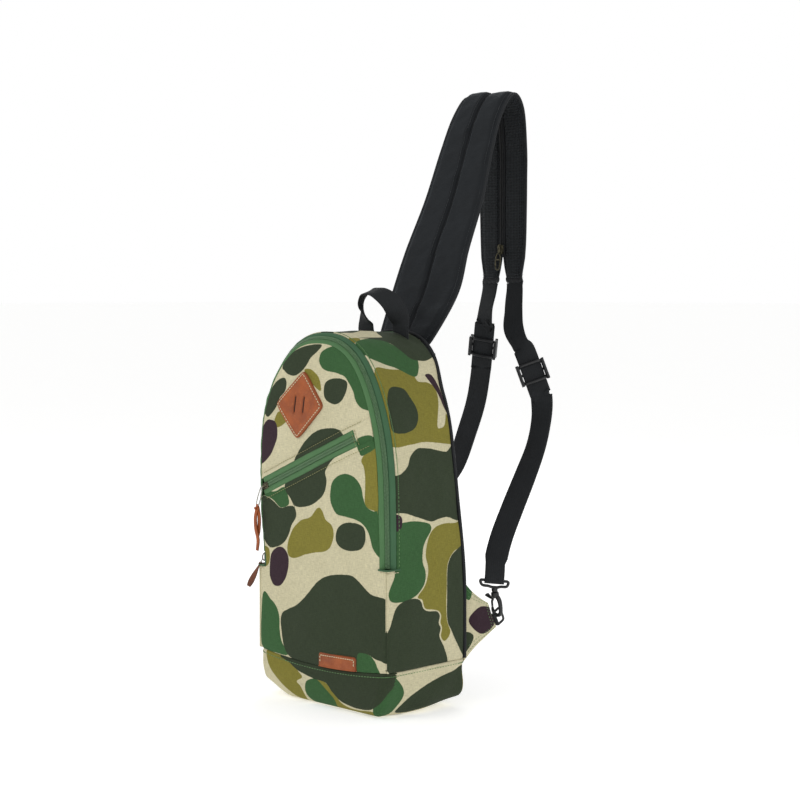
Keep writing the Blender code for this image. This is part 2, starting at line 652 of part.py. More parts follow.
def straight(p, t):
    return [tuple(p + t * k) for k in (-0.030, -0.024, 0.024, 0.030)]


BAR_R = Vector((0.1080, 0.1010, 0.1290))
ROUTES = {
    "right": ([(0.0195, 0.2358, 0.4565), (0.0215, 0.2325, 0.4460), (0.0310, 0.2200, 0.4250), (0.0385, 0.2115, 0.4030),
               (0.0485, 0.2113, 0.3850)] + straight(GLIDE_R, GLIDE_RT)[1:]
              + [(0.0745, 0.2190, 0.3000), (0.0810, 0.2020, 0.2700), (0.0880, 0.1750, 0.2380), (0.0960, 0.1440, 0.2050),
                 (0.1030, 0.1180, 0.1760), (0.1070, 0.1040, 0.1530), (0.1080, 0.1010, 0.1385)],
              [0, -4, 2, 16, 4, 40, 46, 40, 12, 10, 30, 44, 44, 42, 42]),
    "left": ([(-0.0195, 0.2358, 0.4565), (-0.0212, 0.2360, 0.4460), (-0.0290, 0.2390, 0.4270), (-0.0365, 0.2440, 0.4060)]
             + straight(GLIDE_L, GLIDE_LT)
             + [(-0.0640, 0.2600, 0.3130), (-0.0740, 0.2550, 0.2760), (-0.0840, 0.2400, 0.2280), (-0.0930, 0.2100, 0.1960),
                (-0.1010, 0.1650, 0.1700), (-0.1060, 0.1210, 0.1500), (-0.1080, 0.1010, 0.1385)],
             [0, -8, -12, 0, 20, 26, 26, 22, 18, 18, 10, -10, -40, -44, -42]),
}


def lerp_angles(angles, per):
    return [v.x for v in smooth_path([(a, 0, 0) for a in angles], per)]


def webbing(label):
    side = 1 if label == "right" else -1
    route, angles = ROUTES[label]
    c = smooth_path(route, 4)
    ang = lerp_angles(angles, 4)
    pts, wid, nrm = [], [], []
    for i, p in enumerate(c):
        a, b = c[max(i - 1, 0)], c[min(i + 1, len(c) - 1)]
        t = (b - a).normalized()
        w = Vector((math.cos(math.radians(ang[i])), math.sin(math.radians(ang[i])), 0))
        w = (w - t * w.dot(t)).normalized()
        pts.append(p)
        wid.append(w)
        nrm.append(t.cross(w).normalized())
    glide_end = 4 * 8
    down, up = [], []
    n = len(pts) - 1
    for i in range(n + 1):
        # the two layers spread to pass each side of the eye's bar
        near = max(0.0, 1.0 - (pts[-1] - pts[i]).length / 0.030)
        d = 0.0011 + 0.0017 * near if i >= glide_end else 0.0011 * max(0.0, (i - 29) / 3)
        down.append(pts[i] + nrm[i] * d)
        up.append(pts[i] - nrm[i] * (0.0011 + 0.0017 * near))
    # U turn round the bar
    t_end = (pts[-1] - pts[-2]).normalized()
    turn = []
    for k in range(1, 8):
        a = math.pi * k / 8
        turn.append(pts[-1] + t_end * (0.0085 + 0.0028 * math.sin(a)) + nrm[-1] * (0.0028 * math.cos(a)))
    start_up = glide_end + 2
    path = down + turn + up[start_up:][::-1]
    w_all = wid + [wid[-1]] * 7 + wid[start_up:][::-1]
    # narrow slightly at the eye
    ribbon("webbing_" + label, path, [w * (WEB_W / 2 * (0.86 if (q - pts[-1]).length < 0.014 else 1.0)) for w, q in zip(w_all, path)],
           WEB_T / 2, BLACK)
    return pts[-1] + t_end * 0.0085, wid[-1]


def tri_glide(label, p, t, angle):
    w = Vector((math.cos(math.radians(angle)), math.sin(math.radians(angle)), 0))
    w = (w - t * w.dot(t)).normalized()
    n = t.cross(w).normalized()
    name = "tri_glide_" + label
    m = lambda a, b, c: basis(p + w * a + n * b + t * c, w, n, t)
    ob = block(name, (0.0024, 0.0076, 0.0240), PLASTIC, m(0.0150, 0, 0))
    for k, (size, at) in enumerate((((0.0024, 0.0076, 0.0240), (-0.0150, 0, 0)),
                                    ((0.0310, 0.0022, 0.0030), (0, 0.0026, 0.0104)),
                                    ((0.0310, 0.0022, 0.0030), (0, 0.0026, -0.0104)),
                                    ((0.0310, 0.0022, 0.0036), (0, -0.0026, 0.0)))):
        boolean(ob, block(name + "_bar%d" % k, size, PLASTIC, m(*at), cutter=True), "UNION")
    return ob


tri_glide("right", GLIDE_R, GLIDE_RT, 44)
tri_glide("left", GLIDE_L, GLIDE_LT, 26)

# ---------------------------------------------------------------- wing tabs, rings and snap hooks
EDGE_TOP, EDGE_LOW = Vector((0.107, 0.090, 0.107)), Vector((0.107, 0.104, 0.079))
EDGE = (EDGE_LOW - EDGE_TOP).normalized()
EDGE_OUT = Vector((0, -EDGE.z, EDGE.y)).normalized()
if EDGE_OUT.y < 0:
    EDGE_OUT = -EDGE_OUT
RING_A = EDGE_TOP + EDGE * 0.0150 + EDGE_OUT * 0.0026
RING_B = EDGE_TOP + EDGE * 0.0310 + EDGE_OUT * 0.0026
RING_REACH = 0.0120


def mirror(v, side):
    return Vector((v.x * side, v.y, v.z))


for side, label in ((1, "right"), (-1, "left")):
    bar, wvec = webbing(label)
    # tab: a folded triangle of canvas sewn into the lower back corner
    quad = [Vector((0.0985, y_back(0.130) + 0.0008, 0.130)), Vector((0.0985, y_back(0.048) + 0.0008, 0.0485)), EDGE_LOW, EDGE_TOP]
    loft("side_tab_" + label, [[mirror(q + Vector((dx, 0, 0)), side) for q in quad] for dx in (-0.0012, 0.0012)], CAMO)
    # ring: a rounded rectangle of wire
    a, b = RING_A, RING_B
    c, d = b + EDGE_OUT * RING_REACH, a + EDGE_OUT * RING_REACH
    corners, pts = [a, b, c, d], []
    for k in range(4):
        p0, p1, p2 = corners[k - 1], corners[k], corners[(k + 1) % 4]
        u, v = (p0 - p1).normalized(), (p2 - p1).normalized()
        for q in range(4):
            f = q / 3
            pts.append(p1 + u * 0.0025 * (1 - f) ** 2 + v * 0.0025 * f ** 2)
    tube("tab_ring_" + label, [mirror(q, side) for q in pts], 0.0013, PLASTIC, cyclic=True)

    # snap hook, in the plane of X and its own axis, its mouth round the ring's upper leg
    leg = RING_A + EDGE_OUT * (RING_REACH * 0.57)
    axis = Vector((0, 0.16, -0.987)).normalized()
    up = -axis
    xo = Vector((1, 0, 0))
    cen = leg + axis * 0.0005
    hook = [cen + up * 0.0165 + xo * 0.0012, cen + up * 0.0130 + xo * 0.0046, cen + up * 0.0090 + xo * 0.0058]
    for k in range(9):
        t = math.pi * k / 8
        hook.append(cen + xo * (0.0058 * math.cos(t)) - up * (0.0058 * math.sin(t)))
    hook.append(cen + up * 0.0030 - xo * 0.0058)
    ob = to_mesh(tube("snap_hook_" + label, [mirror(q, side) for q in hook], 0.0020, PLASTIC))
    collar0, collar1 = cen + up * 0.0150, cen + up * 0.0205
    boolean(ob, rod("collar_" + label, mirror(collar0, side), mirror(collar1, side), 0.0040, PLASTIC, cutter=True), "UNION")
    # gate: a bar from its pivot under the collar down to the hook's nose, with a thumb lever
    piv = cen + up * 0.0122 - xo * 0.0042
    gate = [cen + up * 0.0035 - xo * 0.0058, cen + up * 0.0090 - xo * 0.0056, piv, cen + up * 0.0132 - xo * 0.0080,
            cen + up * 0.0160 - xo * 0.0120]
    tube("snap_gate_" + label, [mirror(q, side) for q in gate], 0.0013, PLASTIC)
    # eye: a loop for the webbing, with the swivel boss under it
    boss_top = mirror(cen + up * 0.0240, side)
    w = wvec
    rise = (bar - boss_top).normalized()
    half = 0.0150
    eye = [bar + w * half, bar - w * half]
    low = boss_top + rise * 0.0016
    path = [bar - w * half * 0.8, bar - w * half, bar - w * half - rise * 0.0030, low - w * 0.0060 + rise * 0.0006, low,
            low + w * 0.0060 + rise * 0.0006, bar + w * half - rise * 0.0030, bar + w * half, bar + w * half * 0.8]
    ob = to_mesh(tube("swivel_eye_" + label, path, 0.0015, PLASTIC, cyclic=True))
    boolean(ob, rod("boss_" + label, mirror(cen + up * 0.0209, side), boss_top + rise * 0.0016, 0.0032, PLASTIC, cutter=True), "UNION")

# pivots that the record repeats
for ob in bpy.data.objects:
    if ob.name.startswith("pivot_"):
        bpy.data.objects.remove(ob)
for name, at in (("pivot_main_pull", MAIN_PIV), ("pivot_pocket_pull", POC_PIV), ("pivot_strap_pull", STR_PIV)):
    e = bpy.data.objects.new(name, None)
    e.location = at
    e.empty_display_size = 0.01
    tools.objects.link(e)
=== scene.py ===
"""Looks of the sling bag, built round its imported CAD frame. Metres, +Z up, the front faces -Y."""
import math
import bpy
import bmesh
import numpy as np
from mathutils import Vector, Matrix


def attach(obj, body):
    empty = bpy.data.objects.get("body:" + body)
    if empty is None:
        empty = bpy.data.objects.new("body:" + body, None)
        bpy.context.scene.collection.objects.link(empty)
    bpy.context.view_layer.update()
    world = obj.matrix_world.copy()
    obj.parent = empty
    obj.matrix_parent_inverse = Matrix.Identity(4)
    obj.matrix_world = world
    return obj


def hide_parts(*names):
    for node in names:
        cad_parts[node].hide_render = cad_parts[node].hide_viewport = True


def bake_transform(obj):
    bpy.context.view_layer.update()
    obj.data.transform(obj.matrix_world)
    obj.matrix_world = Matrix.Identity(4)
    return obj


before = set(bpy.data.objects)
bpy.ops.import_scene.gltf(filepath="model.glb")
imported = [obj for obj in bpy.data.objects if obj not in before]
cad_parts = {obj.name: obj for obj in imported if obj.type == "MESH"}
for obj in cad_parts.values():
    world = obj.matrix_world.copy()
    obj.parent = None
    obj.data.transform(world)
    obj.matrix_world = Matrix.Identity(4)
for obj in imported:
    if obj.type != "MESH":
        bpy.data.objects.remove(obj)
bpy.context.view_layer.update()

# ---------------------------------------------------------------- camera
cam_data = bpy.data.cameras.new("camera")
cam = bpy.data.objects.new("camera", cam_data)
bpy.context.scene.collection.objects.link(cam)
cam_data.lens = 81.3
cam_data.sensor_width = 36.0
cam_data.shift_x = 0.0505
cam_data.shift_y = -0.1395
cam_data.clip_start, cam_data.clip_end = 0.02, 60.0
AZ = math.radians(46.0)
cam.location = (math.sin(AZ) * 1.98, -math.cos(AZ) * 1.98, 0.449)
cam.rotation_euler = (math.pi / 2, 0.0, AZ)
bpy.context.scene.camera = cam

# ---------------------------------------------------------------- the frame's shape
HALF_W, ARCH_Z, ARCH_H, ARCH_N = 0.1015, 0.235, 0.167, 2.3
FRONT_Y, FRONT_LEAN = -0.0575, 0.0050
BACK_Y, BACK_WAIST, BACK_FLARE = 0.0610, 0.0180, 0.0160
BOOT_Z, HINGE_Z, CHAMFER, ZIP_TAIL = 0.050, 0.157, 0.0125, 0.0150
DIAG, DIAG_Z0, DIAG_HALF, DIAG_END = math.radians(23.0), 0.2663, 0.0103, 0.0610
R2 = math.sqrt(0.5)


def ease(t):
    t = np.clip(t, 0.0, 1.0)
    return t * t * (3.0 - 2.0 * t)


def y_front(z):
    return FRONT_Y - FRONT_LEAN * ease((z - 0.10) / 0.28)


def y_back(z):
    return BACK_Y - BACK_WAIST * ease((z - 0.12) / 0.17) + BACK_FLARE * ease((z - 0.335) / 0.065)


def _outline():
    zs = np.arange(0, ARCH_Z, 0.0005)
    t = np.linspace(0, math.pi, 2400)
    c, s = np.cos(t), np.maximum(np.sin(t), 0)
    e = 2 / ARCH_N
    ax, az = HALF_W * np.sign(c) * np.abs(c) ** e, ARCH_Z + ARCH_H * s ** e
    x = np.r_[np.full(len(zs), HALF_W), ax, np.full(len(zs), -HALF_W)]
    z = np.r_[zs, az, zs[::-1]]
    gx = np.sign(x) * (np.abs(x) / HALF_W) ** (ARCH_N - 1) / HALF_W
    gz = (np.maximum(z - ARCH_Z, 0) / ARCH_H) ** (ARCH_N - 1) / ARCH_H
    n = -np.stack([gx, gz], 1)
    n /= np.linalg.norm(n, axis=1)[:, None]
    d = np.r_[0, np.cumsum(np.hypot(np.diff(x), np.diff(z)))]
    return d, x, z, n


OUT_S, OUT_X, OUT_Z, OUT_N = _outline()
LENGTH = OUT_S[-1]


def outline(s):
    """Point and inward normal of the bag's outline at arc length s from the lower right corner."""
    s = np.asarray(s, float)
    x, z = np.interp(s, OUT_S, OUT_X), np.interp(s, OUT_S, OUT_Z)
    nx, nz = np.interp(s, OUT_S, OUT_N[:, 0]), np.interp(s, OUT_S, OUT_N[:, 1])
    k = np.hypot(nx, nz)
    return x, z, nx / k, nz / k


def arch_z(x, off):
    """Height of the outline inset by off, at x."""
    i = slice(np.searchsorted(OUT_S, ARCH_Z) - 2, np.searchsorted(OUT_S, LENGTH - ARCH_Z) + 2)
    xs, zs = (OUT_X + OUT_N[:, 0] * off)[i], (OUT_Z + OUT_N[:, 1] * off)[i]
    order = np.argsort(xs)
    return np.interp(x, xs[order], zs[order])


def corner(s, a, d):
    """Points on the 45 degree zip corner: s along the outline, a across the corner from the side, d outwards."""
    x, z, nx, nz = outline(s)
    off, dy = (a - d) * R2, CHAMFER - (a + d) * R2
    return np.stack([x + nx * off, y_front(z) + dy, z + nz * off], -1)


def inset(s, off, y_rel):
    x, z, nx, nz = outline(s)
    return np.stack([x + nx * off, y_front(z) + y_rel, z + nz * off], -1)


def waves(P, freq, seed, n=7):
    """Smooth seeded noise, about -1 to 1. freq in cycles per metre."""
    r = np.random.default_rng(seed)
    out = 0.0
    for _ in range(n):
        d = r.normal(size=P.shape[-1])
        d /= np.linalg.norm(d)
        out = out + np.sin(P @ d * (freq * r.uniform(0.55, 1.6) * 2 * math.pi) + r.uniform(0, 6.283))
    return out / math.sqrt(n)


def swell(P):
    """The stuffed bag's outward swell and the boot seam's sag, the same for everything sewn to the shell."""
    P = np.array(P, float)
    x, y, z = P[..., 0], P[..., 1], P[..., 2]
    mid = ease((z - 0.150) / 0.06) * ease((0.385 - z) / 0.08)
    front = ease((0.01 - y) / 0.06)
    side = np.clip(x / 0.10, -1.1, 1.1)
    dx = side * np.abs(side) * (0.0026 * mid * front)
    face = np.clip(1 - (np.abs(x) / 0.104) ** 2.6, 0, 1)
    dy = -(0.0016 + 0.0036 * face) * mid * front
    low = ease((z - 0.004) / 0.035) * ease((0.20 - z) / 0.06)
    dy = dy - 0.0032 * low * face * front
    depth = np.clip(1 - ((y - 0.0) / 0.062) ** 2, 0, 1)
    dx = dx + side ** 3 * 0.0022 * depth * ease((z - 0.03) / 0.05) * ease((0.40 - z) / 0.10)
    sag = 0.0062 * np.clip(1 - (x / 0.100) ** 2, 0, 1) * np.exp(-((z - 0.050) / 0.028) ** 2) * ease(z / 0.025) * ease((-0.034 - y) / 0.014)
    P[..., 0] += dx
    P[..., 1] += dy
    P[..., 2] -= sag
    return P


def lift_base(P):
    """The soft bottom rises at its left front end and along its back."""
    P = np.array(P, float)
    x, y, z = P[..., 0], P[..., 1], P[..., 2]
    up = 0.0150 * ease((-x - 0.054) / 0.046) * ease((0.02 - y) / 0.06) + 0.0080 * ease((y + 0.030) / 0.085)
    P[..., 2] += up * np.clip(1 - z / 0.046, 0, 1) ** 1.6
    tuck = 0.0150 * ease((x - 0.045) / 0.055) * ease((0.010 - y) / 0.060)
    P[..., 0] -= tuck * np.clip(1 - z / 0.046, 0, 1) ** 1.3
    return P


# ---------------------------------------------------------------- mesh helpers
def build(name, verts, faces, mat, body, slot, rep=(), attrs=None, flat=None, smooth=True, angle=40, flip=None):
    me = bpy.data.meshes.new(name)
    verts = np.asarray(verts, float).reshape(-1, 3)
    me.from_pydata(verts.tolist(), [], [tuple(int(i) for i in f) for f in faces])
    for key, val in (attrs or {}).items():
        a = me.attributes.new(key, "FLOAT", "POINT")
        a.data.foreach_set("value", np.asarray(val, np.float32).ravel())
    if flat is not None:
        f = np.asarray(flat, np.float32).reshape(len(verts), -1)
        if f.shape[1] == 2:
            f = np.c_[f, np.zeros(len(f), np.float32)]
        a = me.attributes.new("flat", "FLOAT_VECTOR", "POINT")
        a.data.foreach_set("vector", f.astype(np.float32).ravel())
    bm = bmesh.new()
    bm.from_mesh(me)
    bmesh.ops.recalc_face_normals(bm, faces=bm.faces[:])
    bm.to_mesh(me)
    bm.free()
    if smooth:
        me.shade_smooth()
        if angle:
            me.set_sharp_from_angle(angle=math.radians(angle))
    ob = bpy.data.objects.new(name, me)
    bpy.context.scene.collection.objects.link(ob)
    me.materials.append(mat)
    if body:
        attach(ob, body)
    if rep:
        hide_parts(*rep)
    return ob


def slab(name, F, B, mat, body, slot, rep=(), attrs=None, flat=None, **kw):
    """Closed sheet between two equal grids of points."""
    n, m = F.shape[:2]
    idx = np.arange(n * m).reshape(n, m)
    q = np.stack([idx[:-1, :-1], idx[1:, :-1], idx[1:, 1:], idx[:-1, 1:]], -1).reshape(-1, 4)
    back = q[:, ::-1] + n * m
    rim = np.r_[idx[0, :], idx[1:, -1], idx[-1, -2::-1], idx[-2:0:-1, 0]]
    nxt = np.roll(rim, -1)
    side = np.stack([rim, nxt, nxt + n * m, rim + n * m], -1)
    faces = np.r_[q, back, side].tolist()
    A = {k: np.r_[np.ravel(v), np.ravel(v)] for k, v in (attrs or {}).items()}
    fl = None
    if flat is not None:
        flat = np.asarray(flat).reshape(n * m, -1)
        fl = np.r_[flat, flat]
    return build(name, np.r_[F.reshape(-1, 3), B.reshape(-1, 3)], faces, mat, body, slot, rep, A, fl, **kw)


def tube_data(R, closed=False, caps=True):
    """Vertices and faces of a skin through rings R (n, k, 3)."""
    n, k = R.shape[:2]
    idx = np.arange(n * k).reshape(n, k)
    nx = np.roll(idx, -1, axis=1)
    if closed:
        a, b, c, d = idx, nx, np.roll(nx, -1, axis=0), np.roll(idx, -1, axis=0)
    else:
        a, b, c, d = idx[:-1], nx[:-1], nx[1:], idx[1:]
    faces = np.stack([a, b, c, d], -1).reshape(-1, 4).tolist()
    if caps and not closed:
        faces.append(idx[0][::-1].tolist())
        faces.append(idx[-1].tolist())
    return R.reshape(-1, 3), faces


def skin(name, R, mat, body, slot, rep=(), closed=False, caps=True, attrs=None, flat=None, **kw):
    v, f = tube_data(R, closed, caps)
    return build(name, v, f, mat, body, slot, rep, attrs, flat, **kw)


def many(parts):
    """Join (verts, faces) pairs into one."""
    V, F, n = [], [], 0
    for v, f in parts:
        v = np.asarray(v).reshape(-1, 3)
        V.append(v)
        F += [[i + n for i in q] for q in f]
        n += len(v)
    return np.concatenate(V), F


def unit(v):
    v = np.asarray(v, float)
    return v / np.maximum(np.linalg.norm(v, axis=-1, keepdims=True), 1e-12)


def spline(points, per=8, closed=False):
    p = np.asarray(points, float)
    if closed:
        q = np.r_[p[-1:], p, p[:2]]
    else:
        q = np.r_[2 * p[:1] - p[1:2], p, 2 * p[-1:] - p[-2:-1]]
    out = []
    for i in range(len(q) - 3):
        p0, p1, p2, p3 = q[i:i + 4]
        for t in np.arange(per) / per:
            out.append(0.5 * (2 * p1 + (p2 - p0) * t + (2 * p0 - 5 * p1 + 4 * p2 - p3) * t * t + (3 * p1 - p0 - 3 * p2 + p3) * t ** 3))
    if not closed:
        out.append(p[-1])
    return np.array(out)


def even(points, step):
    """Points along a polyline at an even step, with arc length."""
    p = np.asarray(points, float)
    d = np.r_[0, np.cumsum(np.linalg.norm(np.diff(p, axis=0), axis=1))]
    n = max(2, int(round(d[-1] / step)) + 1)
    s = np.linspace(0, d[-1], n)
    return np.stack([np.interp(s, d, p[:, i]) for i in range(p.shape[1])], 1), s


def wire(points, radius, sides=10, closed=False, up=(0.0, 0.0, 1.0)):
    """Rings of a round tube along points; radius may be a list."""
    p = np.asarray(points, float)
    if closed:
        t = unit(np.roll(p, -1, 0) - np.roll(p, 1, 0))
    else:
        t = unit(np.gradient(p, axis=0))
    n0 = np.asarray(up, float)
    if abs(t[0] @ n0) > 0.9:
        n0 = np.array([1.0, 0.0, 0.0])
    n0 = unit(n0 - t[0] * (t[0] @ n0))
    N = [n0]
    for i in range(1, len(p)):
        n = N[-1] - t[i] * (t[i] @ N[-1])
        N.append(unit(n))
    N = np.array(N)
    if closed:
        last = N[-1] - t[0] * (t[0] @ N[-1])
        last = unit(last)
        ang = math.atan2(np.cross(last, N[0]) @ t[0], last @ N[0])
        for i in range(len(p)):
            a = ang * i / len(p)
            N[i] = N[i] * math.cos(a) + np.cross(t[i], N[i]) * math.sin(a)
    B = np.cross(t, N)
    a = np.arange(sides) * 2 * math.pi / sides
    r = np.broadcast_to(np.asarray(radius, float), (len(p),))
    return p[:, None, :] + r[:, None, None] * (np.cos(a)[None, :, None] * N[:, None, :] + np.sin(a)[None, :, None] * B[:, None, :])


def bar(p, q, r, sides=12, rounding=0.3):
    """A rounded bar from p to q."""
    p, q = np.asarray(p, float), np.asarray(q, float)
    d = unit(q - p)
    e = r * rounding
    pts = np.array([p, p + d * e * 0.3, p + d * e, q - d * e, q - d * e * 0.3, q])
    return tube_data(wire(pts, [r * (1 - rounding), r * (1 - rounding * 0.3), r, r, r * (1 - rounding * 0.3), r * (1 - rounding)], sides))


def plate(outline_uv, h0, h1, C, U, V, N, bevel=0.0004):
    """Rounded flat plate: outline in (u, v) about C, from height h0 to h1 along N."""
    o = np.asarray(outline_uv, float)
    c = o.mean(0)
    t = np.roll(o, -1, 0) - np.roll(o, 1, 0)
    nrm = unit(np.stack([t[:, 1], -t[:, 0]], 1))
    if ((o - c) * nrm).sum() < 0:
        nrm = -nrm
    rings = []
    for k, h in ((-bevel, h0), (0, h0 + bevel), (0, h1 - bevel), (-bevel * 0.3, h1 - bevel * 0.3), (-bevel, h1)):
        q = o + nrm * k
        rings.append(C + q[:, :1] * U + q[:, 1:] * V + h * N)
    return tube_data(np.array(rings))


def stitches(points, normals, pitch=0.0036, length=0.0026, r=0.00032, lift=0.0, lean=0.0):
    """Thread stitches lying along a path on a surface."""
    p = np.asarray(points, float)
    nn = np.broadcast_to(np.asarray(normals, float), p.shape)
    both, s = even(np.c_[p, nn], pitch / 8)
    P, Nn = both[:, :3], unit(both[:, 3:])
    tot = s[-1]
    parts = []
    k = int(tot / pitch)
    if k < 1:
        return np.zeros((0, 3)), []
    gap = (tot - k * pitch + (pitch - length)) / 2
    for i in range(k):
        a, b = gap + i * pitch, gap + i * pitch + length
        q = np.linspace(a, b, 5)
        c = np.stack([np.interp(q, s, P[:, j]) for j in range(3)], 1)
        n = unit(np.stack([np.interp(q, s, Nn[:, j]) for j in range(3)], 1))
        side = np.cross(unit(c[-1] - c[0])[None], n)
        c = c + side * (np.linspace(-1, 1, 5)[:, None] * lean)
        h = np.array([-0.8, 0.35, 0.6, 0.35, -0.8])[:, None] * r
        parts.append(tube_data(wire(c + n * (h + lift), np.array([0.45, 0.9, 1.0, 0.9, 0.45]) * r, 6, up=n[0])))
    return many(parts)


# ---------------------------------------------------------------- camouflage outlines, in millimetres
# FRONT: across and up the front face. SIDE: along the side from the base over the top, and front to back.
FRONT_BLOBS = {
    "dark": [
        [(-56, 363), (-50.5, 373.5), (-34, 382.5), (-17, 387.5), (6, 389), (-1, 381), (-11, 374.5), (-16, 367.5), (-23, 360), (-34.5, 354.5), (-45.5, 355.5), (-52, 359)],
        [(13, 340.5), (14.5, 348.5), (23, 353), (35.5, 354), (45, 352), (48, 347.5), (45.5, 339), (40.5, 331), (31.5, 326.5), (21.5, 328), (15, 332.5)],
        [(-70.5, 340.5), (-61, 349), (-51.5, 351.5), (-47, 346), (-48.5, 337), (-57, 329.5), (-62, 320), (-68.5, 312.5), (-76, 307.5), (-82.5, 313.5), (-81, 328.5)],
        [(-34, 260), (-27, 273), (-11.5, 288.5), (5.5, 297.5), (26, 301), (39, 299), (46.5, 292.5), (48.5, 283.5), (29.5, 268), (16, 255), (17.5, 244.5), (14, 232.5), (5.5, 223.5), (-8.5, 216), (-24.5, 212.5), (-35.5, 214), (-41.5, 221.5), (-49, 230), (-45.5, 242.5), (-38.5, 251.5)],
        [(28.5, 186.5), (32.5, 195.5), (43, 201.5), (56.5, 203), (68, 200.5), (72, 194), (71, 184), (64.5, 176), (50.5, 172.5), (36.5, 174), (29, 179.5)],
        [(-87.5, 219.5), (-71, 216), (-57.5, 209), (-44, 212.5), (-35.5, 212), (-32.5, 205.5), (-34, 199.5), (-42, 190), (-46.5, 180.5), (-55.5, 170.5), (-69.5, 164.5), (-81, 163.5), (-91.5, 176), (-90.5, 200)],
        [(-62.5, 87), (-59, 94.5), (-47.5, 100), (-34, 106), (-19, 118), (-1.5, 134.5), (15.5, 142.5), (36, 146), (52, 146.5), (65.5, 139.5), (79, 130), (104.5, 121), (106, 64.5), (90, 63.5), (82.5, 65.5), (75, 68.5), (59.5, 68.5), (55.5, 54), (23.5, 48), (-19, 47.5), (-45.5, 50.5), (-56.5, 60), (-61, 75)],
    ],
    "mid": [
        [(3, 372), (5.5, 380), (15, 385.5), (33.5, 389.5), (58, 388.5), (72.5, 377), (82.5, 366), (88.5, 352.5), (91, 322), (76, 322), (66.5, 325), (60, 332), (56.5, 341.5), (50, 349.5), (41.5, 356.5), (26.5, 360), (14, 361.5), (6, 366)],
        [(63.5, 291.5), (79.5, 296.5), (86.5, 294), (90.5, 286), (84.5, 281.5), (75.5, 276.5), (68, 274.5), (64.5, 281.5)],
        [(23.5, 236.5), (27, 245), (37, 251.5), (48.5, 254), (60, 250.5), (68, 241), (70, 231), (74.5, 221.5), (84.5, 217.5), (96.5, 216.5), (97.5, 165.5), (89.5, 170), (81.5, 179), (76.5, 193), (69.5, 202), (59, 206.5), (45.5, 208.5), (32, 210), (25, 218), (22.5, 226)],
        [(-87, 226.5), (-66, 226), (-50, 232.5), (-44.5, 223.5), (-43.5, 213.5), (-57, 209.5), (-70, 216.5), (-87.5, 221.5)],
        [(-94.5, 110), (-80, 106), (-70.5, 100), (-65, 90.5), (-64, 77), (-60, 64.5), (-50.5, 53), (-72.5, 51), (-97, 53.5)],
        [(59.5, 68.5), (74, 69), (81.5, 65), (86.5, 58.5), (88.5, 47.5), (59.5, 45.5)],
    ],
    "olive": [
        [(-20, 361.5), (-10.5, 362), (-0.5, 357), (6, 350), (8.5, 339.5), (-1, 343.5), (-14.5, 353)],
        [(-66, 299), (-65, 305.5), (-58.5, 314), (-47, 314), (-44, 306), (-50.5, 300.5), (-59.5, 297)],
        [(70, 272.5), (76, 278), (86, 283.5), (98.5, 287.5), (98.5, 218), (84.5, 218), (75.5, 220.5), (72, 225.5), (73, 237.5), (73.5, 251.5), (72, 262.5), (68.5, 268)],
        [(-50, 165.5), (-45.5, 178), (-37.5, 189), (-25.5, 198), (-9, 203.5), (3, 214.5), (10, 211), (14.5, 202.5), (23, 197.5), (25.5, 188), (21, 176), (11.5, 168.5), (-5.5, 165), (-23, 161), (-36.5, 156), (-47.5, 156.5)],
        [(-96.5, 161.5), (-84, 163), (-80.5, 156.5), (-82, 146), (-89, 141), (-97.5, 144)],
    ],
    "plum": [
        [(-80, 302), (-68.5, 304.5), (-62, 300), (-60.5, 288), (-65.5, 276), (-74, 265), (-88.5, 255), (-98, 259), (-95, 280)],
        [(-81, 143), (-78, 156.5), (-67, 164.5), (-56, 165), (-49, 157), (-49, 143.5), (-54, 131.5), (-63.5, 122.5), (-75, 122.5), (-81, 131)],
    ],
}
